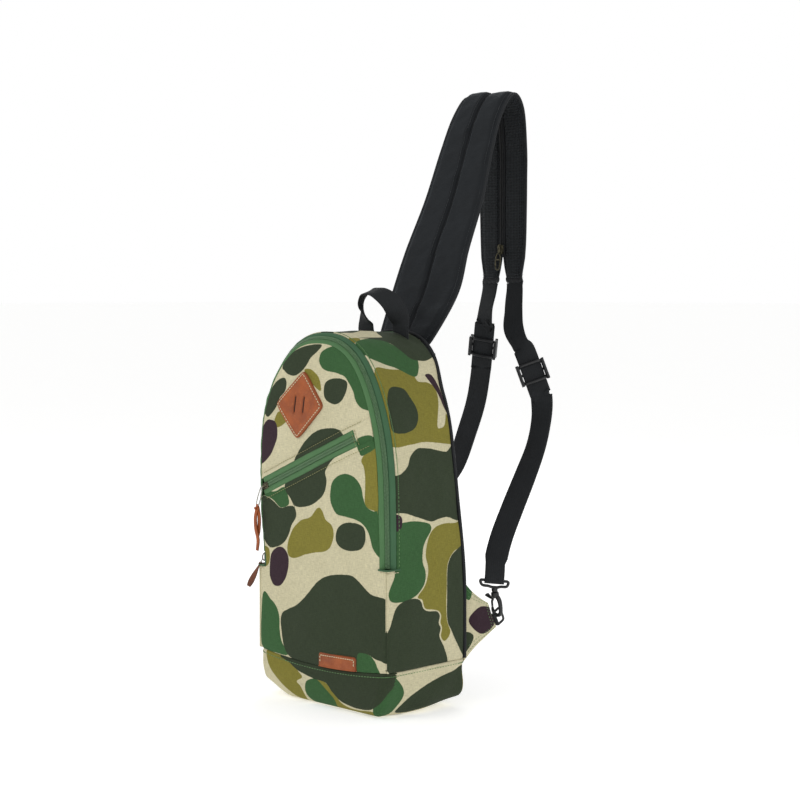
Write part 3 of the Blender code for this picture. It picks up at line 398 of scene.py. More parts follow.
SIDE_BLOBS = {
    "dark": [
        [(419.9, -38.7), (419.9, -2.3), (419.9, 30.6), (413.6, 53.7), (395.5, 58.6), (386.3, 54.4), (379.5, 42.5), (377.5, 30.6), (380.5, 15.9), (392, 7.5), (405.9, 1.2), (414.7, -13.5)],
        [(345.2, -38.5), (348, -26.6), (344.9, -16.1), (335.1, -10.3), (323, -4.5), (311.7, -5.7), (302.2, -13.9), (298.1, -27.2), (298.8, -42.6), (305.5, -48.3), (327.9, -45.9)],
        [(277, 46.8), (274.7, 30.8), (277, 18.1), (280.3, 2), (281, -13.5), (273.3, -24.5), (263.7, -29.8), (256.4, -40.1), (250.5, -55.4), (217.5, -55.2), (216, -44), (214.5, -32.7), (209.5, -17.2), (203, 3.3), (204.5, 15.8), (205.5, 29.1), (204.5, 55.7)],
        [(171.5, 60.7), (168, 44), (160.5, 35), (146.5, 30.3), (118, 29.9), (95, 30.7), (82.5, 37.7), (67, 47.5), (49.5, 64.3), (96.5, 64.3), (140, 64)],
        [(89.5, -57.5), (99, -54), (116, -47), (123, -35.9), (124.5, -20.5), (120.5, -10.7), (113, -7.8), (109, -0.8), (106.5, 13.9), (101, 18.8), (94, 16.7), (88, 20.2), (81, 18.1), (75, 20.9), (65.5, 27.2), (52.5, 32.8), (43, 33.5), (44.5, 1.3), (49, -38.6), (53.5, -57.5)],
    ],
    "mid": [
        [(410.4, -46.4), (416.7, -21.9), (412.5, -5.1), (400.9, 5.4), (391.6, 19.4), (382.5, 24.3), (368.4, 18.8), (359.3, 11.1), (360.3, 2.7), (369, -12.8), (376.5, -31.7), (384.9, -46.4), (396.5, -52)],
        [(201.5, -49.9), (205.5, -32.5), (204.5, -12.9), (200.5, 1.9), (194, 4.2), (185.5, -1.9), (176, -7.3), (162, -8.4), (150.5, -4), (139, -4.6), (130, -12.2), (124.5, -24), (122.5, -39.4), (124.5, -52.7), (131, -56.3), (139, -54.3), (151, -48.1), (166.5, -49.1)],
    ],
    "olive": [
        [(368.2, -48.4), (369, -24.7), (366.1, -2.2), (360.9, 6.9), (353, 9.8), (351.4, 23.1), (345.5, 30.8), (333.3, 31), (303.8, 21.7), (300.5, 26), (303.2, 32.2), (315.2, 38.3), (288.5, 45.9), (282.1, 44.6), (284.9, 19.3), (287.1, -1), (285.7, -21.3), (287.1, -52.1), (325.2, -50.8)],
        [(194, 7), (198.5, 20.2), (198, 41.9), (196.5, 57.3), (172, 60.7), (168.5, 43.9), (160.5, 34.3), (146.5, 29.6), (118, 29.2), (95, 30), (83, 35.6), (76, 32.1), (73.5, 25.8), (79.5, 20.2), (87.5, 22.3), (94.5, 19.5), (101, 20.9), (107.5, 15.3), (110.5, -0.8), (113.5, -5.7), (121.5, -8.6), (125, -15.6), (136.5, -3.8), (153, 0.1), (167.5, -3.6), (184, 0.2)],
        [(415.4, -60.4), (419.9, -42.9), (417.6, -34.5), (409.7, -43.6), (408.8, -58.3)],
    ],
    "plum": [
        [(215, -55.1), (212.5, -40.4), (206, -37.4), (199, -40), (196.5, -55.4)],
        [(360.6, 23.7), (360.6, 32.8), (350, 37.1), (332.7, 40.1), (316.5, 41.1), (320.9, 36.8), (339.2, 32.3), (351.1, 27.3)],
    ],
}
BOOT_FRONT = {
    "dark": [
        [(-63.5, 50), (-19, 53.5), (23.5, 53), (63.5, 52.5), (106, 52), (102, 34), (95.5, 16.5), (81, 8), (53, 6.5), (30.5, 10), (19.5, 20), (10.5, 32), (-9.5, 33.5), (-34, 39), (-50, 45.5)],
    ],
    "mid": [
        [(-19.5, 28.5), (-6, 34), (5.5, 27.5), (16, 16), (21, 6.5), (16, -5.5), (-5.5, -4), (-22.5, 7), (-24.5, 18.5)],
    ],
    "olive": [
        [(-87, 51.5), (-63.5, 53), (-45.5, 47.5), (-34, 38.5), (-27, 31.5), (-37, 24), (-31.5, 17), (-26.5, 0.5), (-44, 3.5), (-65.5, 15.5), (-82, 29)],
        [(-8.5, 31.5), (9.5, 32.5), (21.5, 20.5), (29.5, 8.5), (49, 4), (81, 6.5), (97, 5.5), (77, -6), (40.5, -7), (22, -3), (18, 6.5), (9, 21.5)],
    ],
    "plum": [
    ],
}
BOOT_SIDE = {
    "dark": [
        [(5.5, -33.7), (15.5, -26.7), (22.5, -18.3), (29.5, -2.2), (35.5, 20.2), (39, 41.2), (42.5, 64.3), (2, 64.3), (0, 34.2), (3, 2), (2.5, -22.5)],
    ],
    "mid": [
        [(51.5, -57.5), (42, -42.1), (31.5, -32.3), (21.5, -30.2), (11, -35.1), (1, -42.1), (1, -57.5)],
    ],
    "olive": [
    ],
    "plum": [
    ],
}



def inside(P, loops, clip=5.0):
    """Signed distance in millimetres of points P (N, 2) to closed smooth outlines, positive inside."""
    best = np.full(len(P), -clip)
    for loop in loops:
        L = spline(loop, 5, closed=True)
        lo, hi = L.min(0) - clip, L.max(0) + clip
        near = np.where(((P > lo) & (P < hi)).all(1))[0]
        if not len(near):
            continue
        Q = P[near]
        A, B = L, np.roll(L, -1, 0)
        ab = B - A
        d2 = np.full(len(Q), 1e9)
        odd = np.zeros(len(Q), bool)
        for a, b, e in zip(A, B, ab):
            t = np.clip(((Q - a) @ e) / max(e @ e, 1e-9), 0, 1)
            w = Q - a - t[:, None] * e
            d2 = np.minimum(d2, (w * w).sum(1))
            cross = (a[1] > Q[:, 1]) != (b[1] > Q[:, 1])
            if cross.any():
                xx = a[0] + (Q[:, 1] - a[1]) * (e[0] / (e[1] if abs(e[1]) > 1e-9 else 1e-9))
                odd ^= cross & (Q[:, 0] < xx)
        s = np.sqrt(d2) * np.where(odd, 1, -1)
        best[near] = np.maximum(best[near], np.clip(s, -clip, clip))
    return best


def camo(P, blobs):
    """Attributes for one panel; P is (n, m, 2) in metres."""
    Q = P.reshape(-1, 2) * 1000.0
    return {c: inside(Q, blobs.get(c, [])) for c in ("dark", "mid", "olive", "plum")}


def shifted(blobs, f):
    return {c: [[f(*p) for p in loop] for loop in v] for c, v in blobs.items()}


# ---------------------------------------------------------------- materials
def lin(h):
    c = [int(h[i:i + 2], 16) / 255 for i in (1, 3, 5)]
    return tuple(x / 12.92 if x <= 0.04045 else ((x + 0.055) / 1.055) ** 2.4 for x in c) + (1.0,)


class Mat:
    """Small helper that adds nodes to a new material."""

    def __init__(self, name, rough=0.8, metal=0.0, sheen=0.0, spec=0.5, coat=0.0, coat_rough=0.3, sheen_tint=None):
        self.m = bpy.data.materials.new(name)
        self.m.use_nodes = True
        self.t = self.m.node_tree
        self.b = self.t.nodes["Principled BSDF"]
        self.b.inputs["Roughness"].default_value = rough
        self.b.inputs["Metallic"].default_value = metal
        self.b.inputs["Sheen Weight"].default_value = sheen
        self.b.inputs["Sheen Roughness"].default_value = 0.5
        self.b.inputs["Specular IOR Level"].default_value = spec
        self.b.inputs["Coat Weight"].default_value = coat
        self.b.inputs["Coat Roughness"].default_value = coat_rough
        if sheen_tint:
            self.b.inputs["Sheen Tint"].default_value = sheen_tint

    def node(self, kind, **kw):
        n = self.t.nodes.new(kind)
        for k, v in kw.items():
            setattr(n, k, v)
        return n

    def link(self, a, b):
        self.t.links.new(a, b)

    def put(self, sock, v):
        if isinstance(v, bpy.types.NodeSocket):
            self.link(v, sock)
        else:
            sock.default_value = v

    def attr(self, name, vec=False):
        n = self.node("ShaderNodeAttribute", attribute_name=name)
        return n.outputs["Vector" if vec else "Fac"]

    def math(self, op, a, b=0.0, clamp=False):
        n = self.node("ShaderNodeMath", operation=op, use_clamp=clamp)
        self.put(n.inputs[0], a)
        self.put(n.inputs[1], b)
        return n.outputs[0]

    def scale(self, vec, s):
        n = self.node("ShaderNodeVectorMath", operation="MULTIPLY")
        self.put(n.inputs[0], vec)
        n.inputs[1].default_value = s
        return n.outputs[0]

    def noise(self, vec, scale=1.0, detail=3.0, rough=0.55, dist=0.0):
        n = self.node("ShaderNodeTexNoise")
        self.put(n.inputs["Vector"], vec)
        n.inputs["Scale"].default_value = scale
        n.inputs["Detail"].default_value = detail
        n.inputs["Roughness"].default_value = rough
        n.inputs["Distortion"].default_value = dist
        return n.outputs["Fac"]

    def wave(self, vec, period, direction="X", dist=0.0, detail=1.0, dscale=1.0):
        n = self.node("ShaderNodeTexWave", bands_direction=direction)
        self.put(n.inputs["Vector"], vec)
        n.inputs["Scale"].default_value = 0.314159 / period
        n.inputs["Distortion"].default_value = dist
        n.inputs["Detail"].default_value = detail
        n.inputs["Detail Scale"].default_value = dscale
        return n.outputs["Fac"]

    def remap(self, v, a, b, c=0.0, d=1.0, smooth=False):
        n = self.node("ShaderNodeMapRange")
        n.clamp = True
        n.interpolation_type = "SMOOTHSTEP" if smooth else "LINEAR"
        self.put(n.inputs["Value"], v)
        for i, x in enumerate((a, b, c, d)):
            n.inputs[i + 1].default_value = x
        return n.outputs["Result"]

    def mix(self, f, a, b, kind="MIX"):
        n = self.node("ShaderNodeMix", data_type="RGBA", blend_type=kind)
        self.put(n.inputs["Factor"], f)
        self.put(n.inputs["A"], a)
        self.put(n.inputs["B"], b)
        return n.outputs["Result"]

    def shade(self, colour, v, lo, hi):
        """Multiply a colour by v remapped from 0..1 to lo..hi."""
        g = self.remap(v, 0.0, 1.0, lo, hi)
        n = self.node("ShaderNodeVectorMath", operation="SCALE")
        self.put(n.inputs[0], colour)
        self.link(g, n.inputs["Scale"])
        return n.outputs[0]

    def bump(self, height, strength=0.4, distance=0.0004, prev=None):
        n = self.node("ShaderNodeBump")
        n.inputs["Strength"].default_value = strength
        n.inputs["Distance"].default_value = distance
        self.put(n.inputs["Height"], height)
        if prev is not None:
            self.link(prev, n.inputs["Normal"])
        return n.outputs["Normal"]

    def done(self, colour=None, normal=None, rough=None):
        if colour is not None:
            self.put(self.b.inputs["Base Color"], colour)
        if normal is not None:
            self.link(normal, self.b.inputs["Normal"])
        if rough is not None:
            self.put(self.b.inputs["Roughness"], rough)
        return self.m


def coords(m):
    return m.node("ShaderNodeTexCoord").outputs["Object"]


def canvas_weave(m, flat):
    """Twill height and yarn variation from the flat coordinates."""
    rot = m.node("ShaderNodeVectorRotate", rotation_type="Z_AXIS")
    m.link(flat, rot.inputs["Vector"])
    rot.inputs["Angle"].default_value = math.radians(52)
    twill = m.wave(rot.outputs[0], 0.00105, "X", 0.6, 1.0, 3.0)
    warp = m.noise(m.scale(flat, (1500.0, 160.0, 1.0)), 1.0, 2.0)
    weft = m.noise(m.scale(flat, (160.0, 1500.0, 1.0)), 1.0, 2.0)
    yarn = m.math("ADD", m.math("MULTIPLY", warp, 0.5), m.math("MULTIPLY", weft, 0.5))
    return twill, yarn


def camo_material(name, base_tone=1.0):
    m = Mat(name, rough=0.9, sheen=0.05, spec=0.22, sheen_tint=(0.85, 0.88, 0.78, 1.0))
    flat = m.attr("flat", True)
    twill, yarn = canvas_weave(m, flat)
    wob = m.remap(m.noise(flat, 900.0, 2.0), 0.0, 1.0, -0.42, 0.42)
    fine = m.remap(m.noise(flat, 60.0, 2.0), 0.0, 1.0, -0.7, 0.7)

    def mask(nm):
        v = m.math("ADD", m.math("ADD", m.attr(nm), wob), fine)
        return m.remap(v, -0.22, 0.22)

    c = m.mix(m.noise(flat, 25.0, 3.0), lin("#cdc6a6"), lin("#c2bb9a"))
    c = m.mix(mask("olive"), c, lin("#7d7630"))
    c = m.mix(mask("mid"), c, lin("#355a33"))
    c = m.mix(mask("dark"), c, lin("#303a28"))
    c = m.mix(mask("plum"), c, lin("#33222b"))
    # the yarns differ in tone, and those that stand up are painted lighter and the sunk ones darker, as are the twill
    # ridges and hollows: painted highlight and shade on the weave; the cloth is also faintly faded in patches
    c = m.shade(c, m.remap(yarn, 0.36, 0.64), 0.82, 1.17)
    c = m.shade(c, twill, 0.90, 1.08)
    c = m.shade(c, m.noise(flat, 14.0, 4.0, 0.6), 0.90, 1.10)
    n = m.bump(m.math("ADD", twill, m.math("MULTIPLY", yarn, 1.2)), 0.55, 0.00022)
    n = m.bump(m.noise(flat, 70.0, 3.0), 0.30, 0.0016, n)
    return m.done(c, n)


CAMO = camo_material("camo_canvas")


def webbed(name, colour, light, rough=0.8, sheen=0.06, rib=0.0016, across=0.0011, amt=0.5, lo=0.7, hi=1.25, spec=0.35):
    """Woven tape: ribs along it and picks across."""
    m = Mat(name, rough=rough, sheen=sheen, spec=spec, sheen_tint=light)
    flat = m.attr("flat", True)
    ribs = m.wave(flat, rib, "X", 0.3, 1.0, 2.0)
    picks = m.wave(flat, across, "Y", 0.5, 1.0, 2.0)
    rot = m.node("ShaderNodeVectorRotate", rotation_type="Z_AXIS")
    m.link(flat, rot.inputs["Vector"])
    rot.inputs["Angle"].default_value = math.radians(38)
    diag = m.wave(rot.outputs[0], 0.0013, "X", 0.4)
    h = m.math("ADD", m.math("MULTIPLY", ribs, 0.5), m.math("ADD", m.math("MULTIPLY", picks, 0.5), m.math("MULTIPLY", diag, 0.5)))
    c = m.mix(m.noise(flat, 40.0, 3.0), colour, light)
    # painted highlight and shade: the raised ribs and picks of the weave are coloured lighter and the grooves darker
    c = m.shade(c, m.remap(h, 0.2, 1.3), lo, hi)
    n = m.bump(h, amt, 0.0003)
    n = m.bump(m.noise(flat, 90.0, 2.0), 0.25, 0.0010, n)
    return m.done(c, n)


TAPE = webbed("green_tape", lin("#34573a"), lin("#3f6747"), rough=0.7, sheen=0.08, rib=0.0009, across=0.0007, amt=0.35, lo=0.85, hi=1.12)
PUFFY = webbed("green_band", lin("#41683f"), lin("#4f774b"), rough=0.66, sheen=0.10, rib=0.0009, across=0.0007, amt=0.3, lo=0.88, hi=1.10)
WEBBING = webbed("black_webbing", lin("#141618"), lin("#1d2023"), rib=0.0022, across=0.0014)
BINDING = webbed("black_binding", lin("#101215"), lin("#181b1f"), rib=0.0012, across=0.0009, rough=0.65)
BLACKTAPE = webbed("black_tape", lin("#0f1113"), lin("#16181b"), rib=0.0010, across=0.0008, rough=0.7)


def black_canvas():
    m = Mat("black_canvas", rough=0.78, sheen=0.07, spec=0.28, sheen_tint=(0.55, 0.65, 0.75, 1.0))
    flat = m.attr("flat", True)
    a = m.wave(flat, 0.0010, "X", 0.4)
    b = m.wave(flat, 0.0010, "Y", 0.4)
    h = m.math("MULTIPLY", a, b)
    c = m.mix(m.noise(flat, 30.0, 4.0), lin("#0f1215"), lin("#15191d"))
    # painted highlight and shade: the crowns of the weave are coloured lighter and the hollows darker
    c = m.shade(c, h, 0.8, 1.25)
    n = m.bump(h, 0.5, 0.0002)
    n = m.bump(m.noise(m.scale(flat, (28.0, 90.0, 1.0)), 1.0, 3.0), 0.5, 0.0022, n)
    return m.done(c, n)


CANVAS_BLACK = black_canvas()


def air_mesh():
    m = Mat("air_mesh", rough=0.8, sheen=0.08, spec=0.3, sheen_tint=(0.5, 0.55, 0.6, 1.0))
    flat = m.attr("flat", True)
    v = m.node("ShaderNodeTexVoronoi", feature="F1")
    m.link(m.scale(flat, (430.0, 300.0, 1.0)), v.inputs["Vector"])
    v.inputs["Scale"].default_value = 1.0
    v.inputs["Randomness"].default_value = 0.12
    hole = m.remap(v.outputs["Distance"], 0.22, 0.46, 0.0, 1.0, True)
    # painted shade: the mesh's holes are coloured near black for the shadow inside them
    c = m.mix(hole, lin("#050607"), lin("#1d2124"))
    c = m.shade(c, m.noise(flat, 120.0, 3.0), 0.75, 1.25)
    n = m.bump(hole, 0.8, 0.0009)
    n = m.bump(m.wave(flat, 0.0006, "X"), 0.25, 0.0002, n)
    return m.done(c, n)


AIR_MESH = air_mesh()


def leather(name, base, deep, pale):
    m = Mat(name, rough=0.52, spec=0.4, coat=0.06, coat_rough=0.45)
    p = coords(m)
    pores = m.node("ShaderNodeTexVoronoi", feature="DISTANCE_TO_EDGE")
    m.link(m.scale(p, (1100.0, 1100.0, 1100.0)), pores.inputs["Vector"])
    pores.inputs["Scale"].default_value = 1.0
    grain = m.remap(pores.outputs["Distance"], 0.0, 0.22)
    blot = m.noise(p, 55.0, 5.0, 0.6)
    c = m.mix(m.remap(blot, 0.3, 0.7), base, deep)
    c = m.mix(m.remap(m.noise(p, 240.0, 3.0), 0.55, 0.8, 0.0, 0.5), c, pale)
    # the edge attribute darkens cut edges towards the deep tone, their own colour; on the diamond it also carries
    # painted shade round the slits
    c = m.mix(m.remap(m.attr("edge"), 0.0, 1.0, 0.0, 0.75), c, deep)
    c = m.shade(c, grain, 0.86, 1.05)
    n = m.bump(grain, 0.35, 0.00018)
    n = m.bump(m.noise(p, 160.0, 4.0), 0.35, 0.0005, n)
    return m.done(c, n, m.remap(m.noise(p, 130.0, 3.0), 0.2, 0.8, 0.42, 0.66))


TAN = leather("tan_leather", lin("#a9551f"), lin("#803c13"), lin("#ba692f"))
BROWN = leather("brown_leather", lin("#7e4527"), lin("#4f2815"), lin("#99603c"))


def plastic():
    m = Mat("black_plastic", rough=0.42, spec=0.5)
    p = coords(m)
    c = m.mix(m.noise(p, 200.0, 3.0), lin("#131416"), lin("#1b1d1f"))
    n = m.bump(m.noise(p, 1800.0, 2.0), 0.18, 0.0001)
    return m.done(c, n, m.remap(m.noise(p, 90.0, 3.0), 0.3, 0.7, 0.34, 0.52))


PLASTIC = plastic()


def metal(name, a, b, rough0, rough1):
    m = Mat(name, rough=0.35, metal=1.0)
    p = coords(m)
    c = m.mix(m.remap(m.noise(p, 350.0, 4.0, 0.65), 0.35, 0.7), a, b)
    n = m.bump(m.noise(p, 900.0, 3.0), 0.2, 0.0001)
    return m.done(c, n, m.remap(m.noise(p, 260.0, 3.0), 0.3, 0.7, rough0, rough1))


ANTIQUE = metal("antique_metal", lin("#6a6552"), lin("#3c3a30"), 0.28, 0.5)
NICKEL = metal("nickel_wire", lin("#c9c8c2"), lin("#9a9890"), 0.18, 0.34)


def thread(name, col):
    m = Mat(name, rough=0.6, sheen=0.2, spec=0.4)
    p = coords(m)
    tw = m.wave(m.scale(p, (1.0, 1.0, 1.0)), 0.0005, "DIAGONAL", 0.5)
    # painted shade: the thread is coloured darker in the grooves of its twist and lighter on the plies
    c = m.shade(m.mix(m.noise(p, 300.0, 2.0), col, col), tw, 0.78, 1.08)
    c = m.shade(c, m.noise(p, 80.0, 3.0), 0.85, 1.12)
    return m.done(c, m.bump(tw, 0.5, 0.0001))


THREAD_CREAM = thread("cream_thread", lin("#d8cfab"))
THREAD_OLIVE = thread("olive_thread", lin("#8d8a55"))
THREAD_GREEN = thread("green_thread", lin("#5f8a52"))
THREAD_BLACK = thread("black_thread", lin("#24282c"))


def coil():
    m = Mat("coil_nylon", rough=0.38, spec=0.5)
    p = coords(m)
    c = m.mix(m.noise(p, 400.0, 3.0), lin("#5a7c58"), lin("#6e8e69"))
    return m.done(c, m.bump(m.noise(p, 1500.0, 2.0), 0.2, 0.0001))


COIL = coil()
BLACK_COIL = Mat("black_coil", rough=0.4, spec=0.5)
_p = coords(BLACK_COIL)
BLACK_COIL = BLACK_COIL.done(BLACK_COIL.mix(BLACK_COIL.noise(_p, 400.0), lin("#0d0f10"), lin("#17191b")),
                             BLACK_COIL.bump(BLACK_COIL.noise(_p, 1500.0), 0.2, 0.0001))


def lining_cloth():
    m = Mat("lining_cloth", rough=0.6, sheen=0.25, spec=0.35, sheen_tint=(0.6, 0.7, 0.6, 1.0))
    flat = m.attr("flat", True)
    a = m.wave(flat, 0.0011, "X", 0.3)
    b = m.wave(flat, 0.0011, "Y", 0.3)
    h = m.math("MULTIPLY", a, b)
    c = m.mix(m.noise(flat, 20.0, 4.0), lin("#3a4232"), lin("#454e3b"))
    # painted highlight and shade: the crowns of the weave are coloured lighter and the hollows darker
    c = m.shade(c, h, 0.85, 1.15)
    n = m.bump(h, 0.4, 0.0002)
    n = m.bump(m.noise(flat, 45.0, 3.0), 0.5, 0.002, n)
    return m.done(c, n)


LINING = lining_cloth()


def rough_solid(name, a, b, scale, rough, amt):
    m = Mat(name, rough=rough, spec=0.3)
    p = coords(m)
    return m.done(m.mix(m.noise(p, scale, 4.0), a, b), m.bump(m.noise(p, scale * 3, 3.0), amt, 0.0004))


FOAM = rough_solid("foam_core", lin("#2a2b2c"), lin("#383a3b"), 500.0, 0.95, 0.6)
BOARD = rough_solid("fibre_board", lin("#46423a"), lin("#5a554b"), 300.0, 0.85, 0.4)

# ================================================================ the shell
STEP = 0.0022


def front_field(x, z, edge=0.0):
    """y of the outer face of a front panel at (x, z)."""
    return y_front(z)


# ---- front, lower: one continuous sheet from the boot seam to the pocket zip
along = np.array([math.cos(DIAG), 0.0, math.sin(DIAG)])
perp = np.array([-math.sin(DIAG), 0.0, math.cos(DIAG)])


def diag_point(s, o, y_rel):
    """Point at s along the pocket zip and o across it, y_rel behind the front face."""
    s, o = np.asarray(s, float), np.asarray(o, float)
    x = along[0] * s + perp[0] * o
    z = DIAG_Z0 + along[2] * s + perp[2] * o
    return np.stack([x, y_front(z) + y_rel, z], -1)


def diag_z(x, o):
    return DIAG_Z0 + o / math.cos(DIAG) + x * math.tan(DIAG)


EDGE_HI, EDGE_LO = 0.0119, 0.0021


def wid(z):
    """Half width of the front sheet."""
    k = ease((z - 0.1560) / 0.0010)
    return HALF_W - (EDGE_LO + (EDGE_HI - EDGE_LO) * k)


def wid_left(z):
    """The same on the left, where the zip runs down past the fold line."""
    return wid(z + ZIP_TAIL)


def seam_dip(d, deep=0.0013, w=0.0022):
    return deep * np.exp(-np.maximum(d, 0) / w)


def wrinkle(x, z, amp=1.0):
    P = np.stack([x, z], -1)
    a = waves(P * np.array([1.0, 0.55]), 16.0, 11) * 0.00035
    b = waves(P * np.array([0.5, 1.0]), 34.0, 12) * 0.00016
    return (a + b) * amp


cols = 96
f = np.sin(np.linspace(-math.pi / 2, math.pi / 2, cols))
f = 0.45 * f + 0.55 * np.linspace(-1, 1, cols)
X0 = f * (HALF_W - EDGE_HI)
z_hi = np.minimum(diag_z(X0, -DIAG_HALF + 0.0012), arch_z(X0, EDGE_HI))
rows = 112
rr = np.linspace(0, 1, rows)
n_lo = int(rows * 0.48)
Z = np.concatenate([BOOT_Z + 0.0004 + (0.1560 - BOOT_Z - 0.0004) * np.linspace(0, 1, n_lo)[:, None] + 0 * z_hi[None, :],
                    0.1570 + (z_hi[None, :] - 0.1570) * np.linspace(0, 1, rows - n_lo)[:, None]], 0)
WID = np.where(X0[None, :] < 0, wid_left(Z), wid(Z))
X = X0[None, :] * (WID / (HALF_W - EDGE_HI))
d_side = WID - np.abs(X)
d_diag = (diag_z(X, -DIAG_HALF) - Z) * math.cos(DIAG)
d_boot = Z - BOOT_Z
low = ease((0.160 - Z) / 0.012)
Y = y_front(Z) + seam_dip(d_side, 0.0016, 0.0020) * (0.35 + 0.65 * low) + seam_dip(d_boot, 0.0014) + wrinkle(X, Z)
Y = Y - 0.0009 * ease((0.0042 - d_diag) / 0.003) + 0.0005 * np.exp(-((d_diag - 0.0046) / 0.0010) ** 2)
Y = Y - 0.0004 * (1 - np.exp(-np.maximum(np.minimum(d_side, d_boot), 0) / 0.01))
F = swell(np.stack([X, Y, Z], -1))
B = swell(np.stack([X, Y + 0.0022, Z], -1))
flat = np.stack([X, Z], -1)
front_lower = slab("camo_front_lower", F, B, CAMO, None, "camo", (), camo(flat, FRONT_BLOBS), flat)
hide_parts("lower_front_panel", "front_panel_lower")
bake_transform(front_lower)

# ---- front, upper
xr = np.linspace(0.02, HALF_W - EDGE_HI, 2000)
x_right = xr[np.argmin(np.abs(arch_z(xr, EDGE_HI) - diag_z(xr, DIAG_HALF)))]
x_left = -(HALF_W - EDGE_HI)
f = 0.5 * (1 + (0.5 * np.sin(np.linspace(-math.pi / 2, math.pi / 2, cols)) + 0.5 * np.linspace(-1, 1, cols)))
X0 = x_left + (x_right - x_left) * f
z_lo = diag_z(X0, DIAG_HALF - 0.0012)
z_hi = np.maximum(arch_z(X0, EDGE_HI), z_lo + 0.0004)
rows = 76
rr = np.linspace(0, 1, rows)
Z = z_lo[None, :] + (z_hi - z_lo)[None, :] * rr[:, None]
X = np.repeat(X0[None, :], rows, 0)
d_arch = np.minimum((arch_z(X0, EDGE_HI)[None, :] - Z), (HALF_W - EDGE_HI) - np.abs(X))
d_diag = (Z - diag_z(X, DIAG_HALF)) * math.cos(DIAG)
Y = y_front(Z) + seam_dip(d_arch, 0.0006) + wrinkle(X, Z, 1.2)
Y = Y - 0.0009 * ease((0.0042 - d_diag) / 0.003) + 0.0005 * np.exp(-((d_diag - 0.0046) / 0.0010) ** 2)
F = swell(np.stack([X, Y, Z], -1))
B = swell(np.stack([X, Y + 0.0022, Z], -1))
flat = np.stack([X, Z], -1)
slab("camo_front_upper", F, B, CAMO, "front_flap", "camo", ("front_panel_upper",), camo(flat, FRONT_BLOBS), flat)

# ---- end cap of the pocket zip
s0, n_s, n_o = DIAG_END / math.cos(DIAG), 26, 14
s_end = []
oo = np.linspace(-DIAG_HALF - 0.0004, DIAG_HALF + 0.0004, n_o)
for o in oo:
    s = np.linspace(s0, s0 + 0.06, 800)
    x, z = along[0] * s + perp[0] * o, DIAG_Z0 + along[2] * s + perp[2] * o
    ok = (z < arch_z(x, EDGE_HI)) & (x < HALF_W - EDGE_HI)
    s_end.append(s[ok].max())
s_end = np.array(s_end)
tt = np.linspace(0, 1, n_s)[:, None]
S = (s0 - 0.0006) + (s_end[None, :] - s0 + 0.0006) * tt
O = np.repeat(oo[None, :], n_s, 0)
P = diag_point(S, O, 0.0)
dl = (S - s0)
P[..., 1] += -0.0006 + 0.0006 * ease((0.0006 - dl) / 0.002) + wrinkle(P[..., 0], P[..., 2])
flat = np.stack([P[..., 0], P[..., 2]], -1)
slab("camo_zip_end_cap", swell(P), swell(P + np.array([0, 0.0022, 0])), CAMO, "front_flap", "camo", ("pocket_end_cap",),
     camo(flat, FRONT_BLOBS), flat)

# ---- side gusset, one strip from the right boot seam over the top to the left
zr, zl = HINGE_Z, HINGE_Z - ZIP_TAIL
sr, sl = zr, LENGTH - zl
ss = np.r_[np.arange(BOOT_Z + 0.0004, sr - 0.0006, STEP), sr - 0.0006, sr + 0.0002,
           np.arange(sr + STEP, sl - STEP, STEP), sl - 0.0002, sl + 0.0006, np.arange(sl + STEP, LENGTH - BOOT_Z - 0.0004, STEP)]
ss = np.r_[ss, LENGTH - BOOT_Z - 0.0004]
is_zip = (ss > sr - 0.0001) & (ss < sl + 0.0001)
NY = 60
v = np.linspace(0, 1, NY)
x, z, nx, nz = outline(ss)
yf, yb = y_front(z), y_back(z) - 0.0030
# the folded corner below the zip: (inset, y from the front face)
nose = np.array([(0.0024, 0.0020), (0.0020, 0.0008), (0.0012, 0.0003), (0.0005, 0.0006), (0.0001, 0.0015), (0.0, 0.0030),
                 (0.0, 0.0060), (0.0, 0.0110)])
zipe = np.array([(0.0026, 0.0146), (0.0016, 0.0136), (0.0004, 0.0131), (-0.0003, 0.0134), (-0.0006, 0.0142), (-0.0004, 0.0152),
                 (-0.0002, 0.0158), (0.0, 0.0166)])
OFF = np.zeros((len(ss), NY + 8))
REL = np.zeros((len(ss), NY + 8))
for i in range(len(ss)):
    e = zipe if is_zip[i] else nose
    y1 = yb[i] - yf[i]
    tail = e[-1, 1] + (y1 - e[-1, 1]) * np.linspace(0, 1, NY + 1)[1:]
    OFF[i, :8], REL[i, :8] = e[:, 0], e[:, 1]
    OFF[i, 8:], REL[i, 8:] = 0.0, tail
d_st = REL - (CHAMFER + 0.0036)
OFF += np.where(is_zip[:, None], 0.00035 * np.exp(-(d_st / 0.0011) ** 2), 0)
d_bk = (yb - yf)[:, None] - REL
OFF += seam_dip(d_bk, 0.0010, 0.0016)
Zg = np.repeat(z[:, None], NY + 8, 1)
d_bt = np.minimum(ss - BOOT_Z, LENGTH - BOOT_Z - ss)[:, None]
OFF += seam_dip(d_bt, 0.0010) * (REL > 0.002)
Sg = np.repeat(ss[:, None], NY + 8, 1)
Wp = np.stack([Sg, REL], -1)
OFF += (waves(Wp * np.array([1.0, 0.6]), 15.0, 21) * 0.00045 + waves(Wp * np.array([0.6, 1.2]), 36.0, 22) * 0.00018) * ease((REL - 0.012) / 0.01)
# a soft hollow where the canvas is drawn towards the strap seam at the top back
OFF += 0.0010 * ease((REL - 0.06) / 0.05) * ease((0.12 - np.abs(Sg - LENGTH / 2)) / 0.08)
G = np.stack([x[:, None] + nx[:, None] * OFF, yf[:, None] + REL, z[:, None] + nz[:, None] * OFF], -1)
Gi = np.stack([x[:, None] + nx[:, None] * (OFF + 0.0024), yf[:, None] + REL + 0.0004, z[:, None] + nz[:, None] * (OFF + 0.0024)], -1)
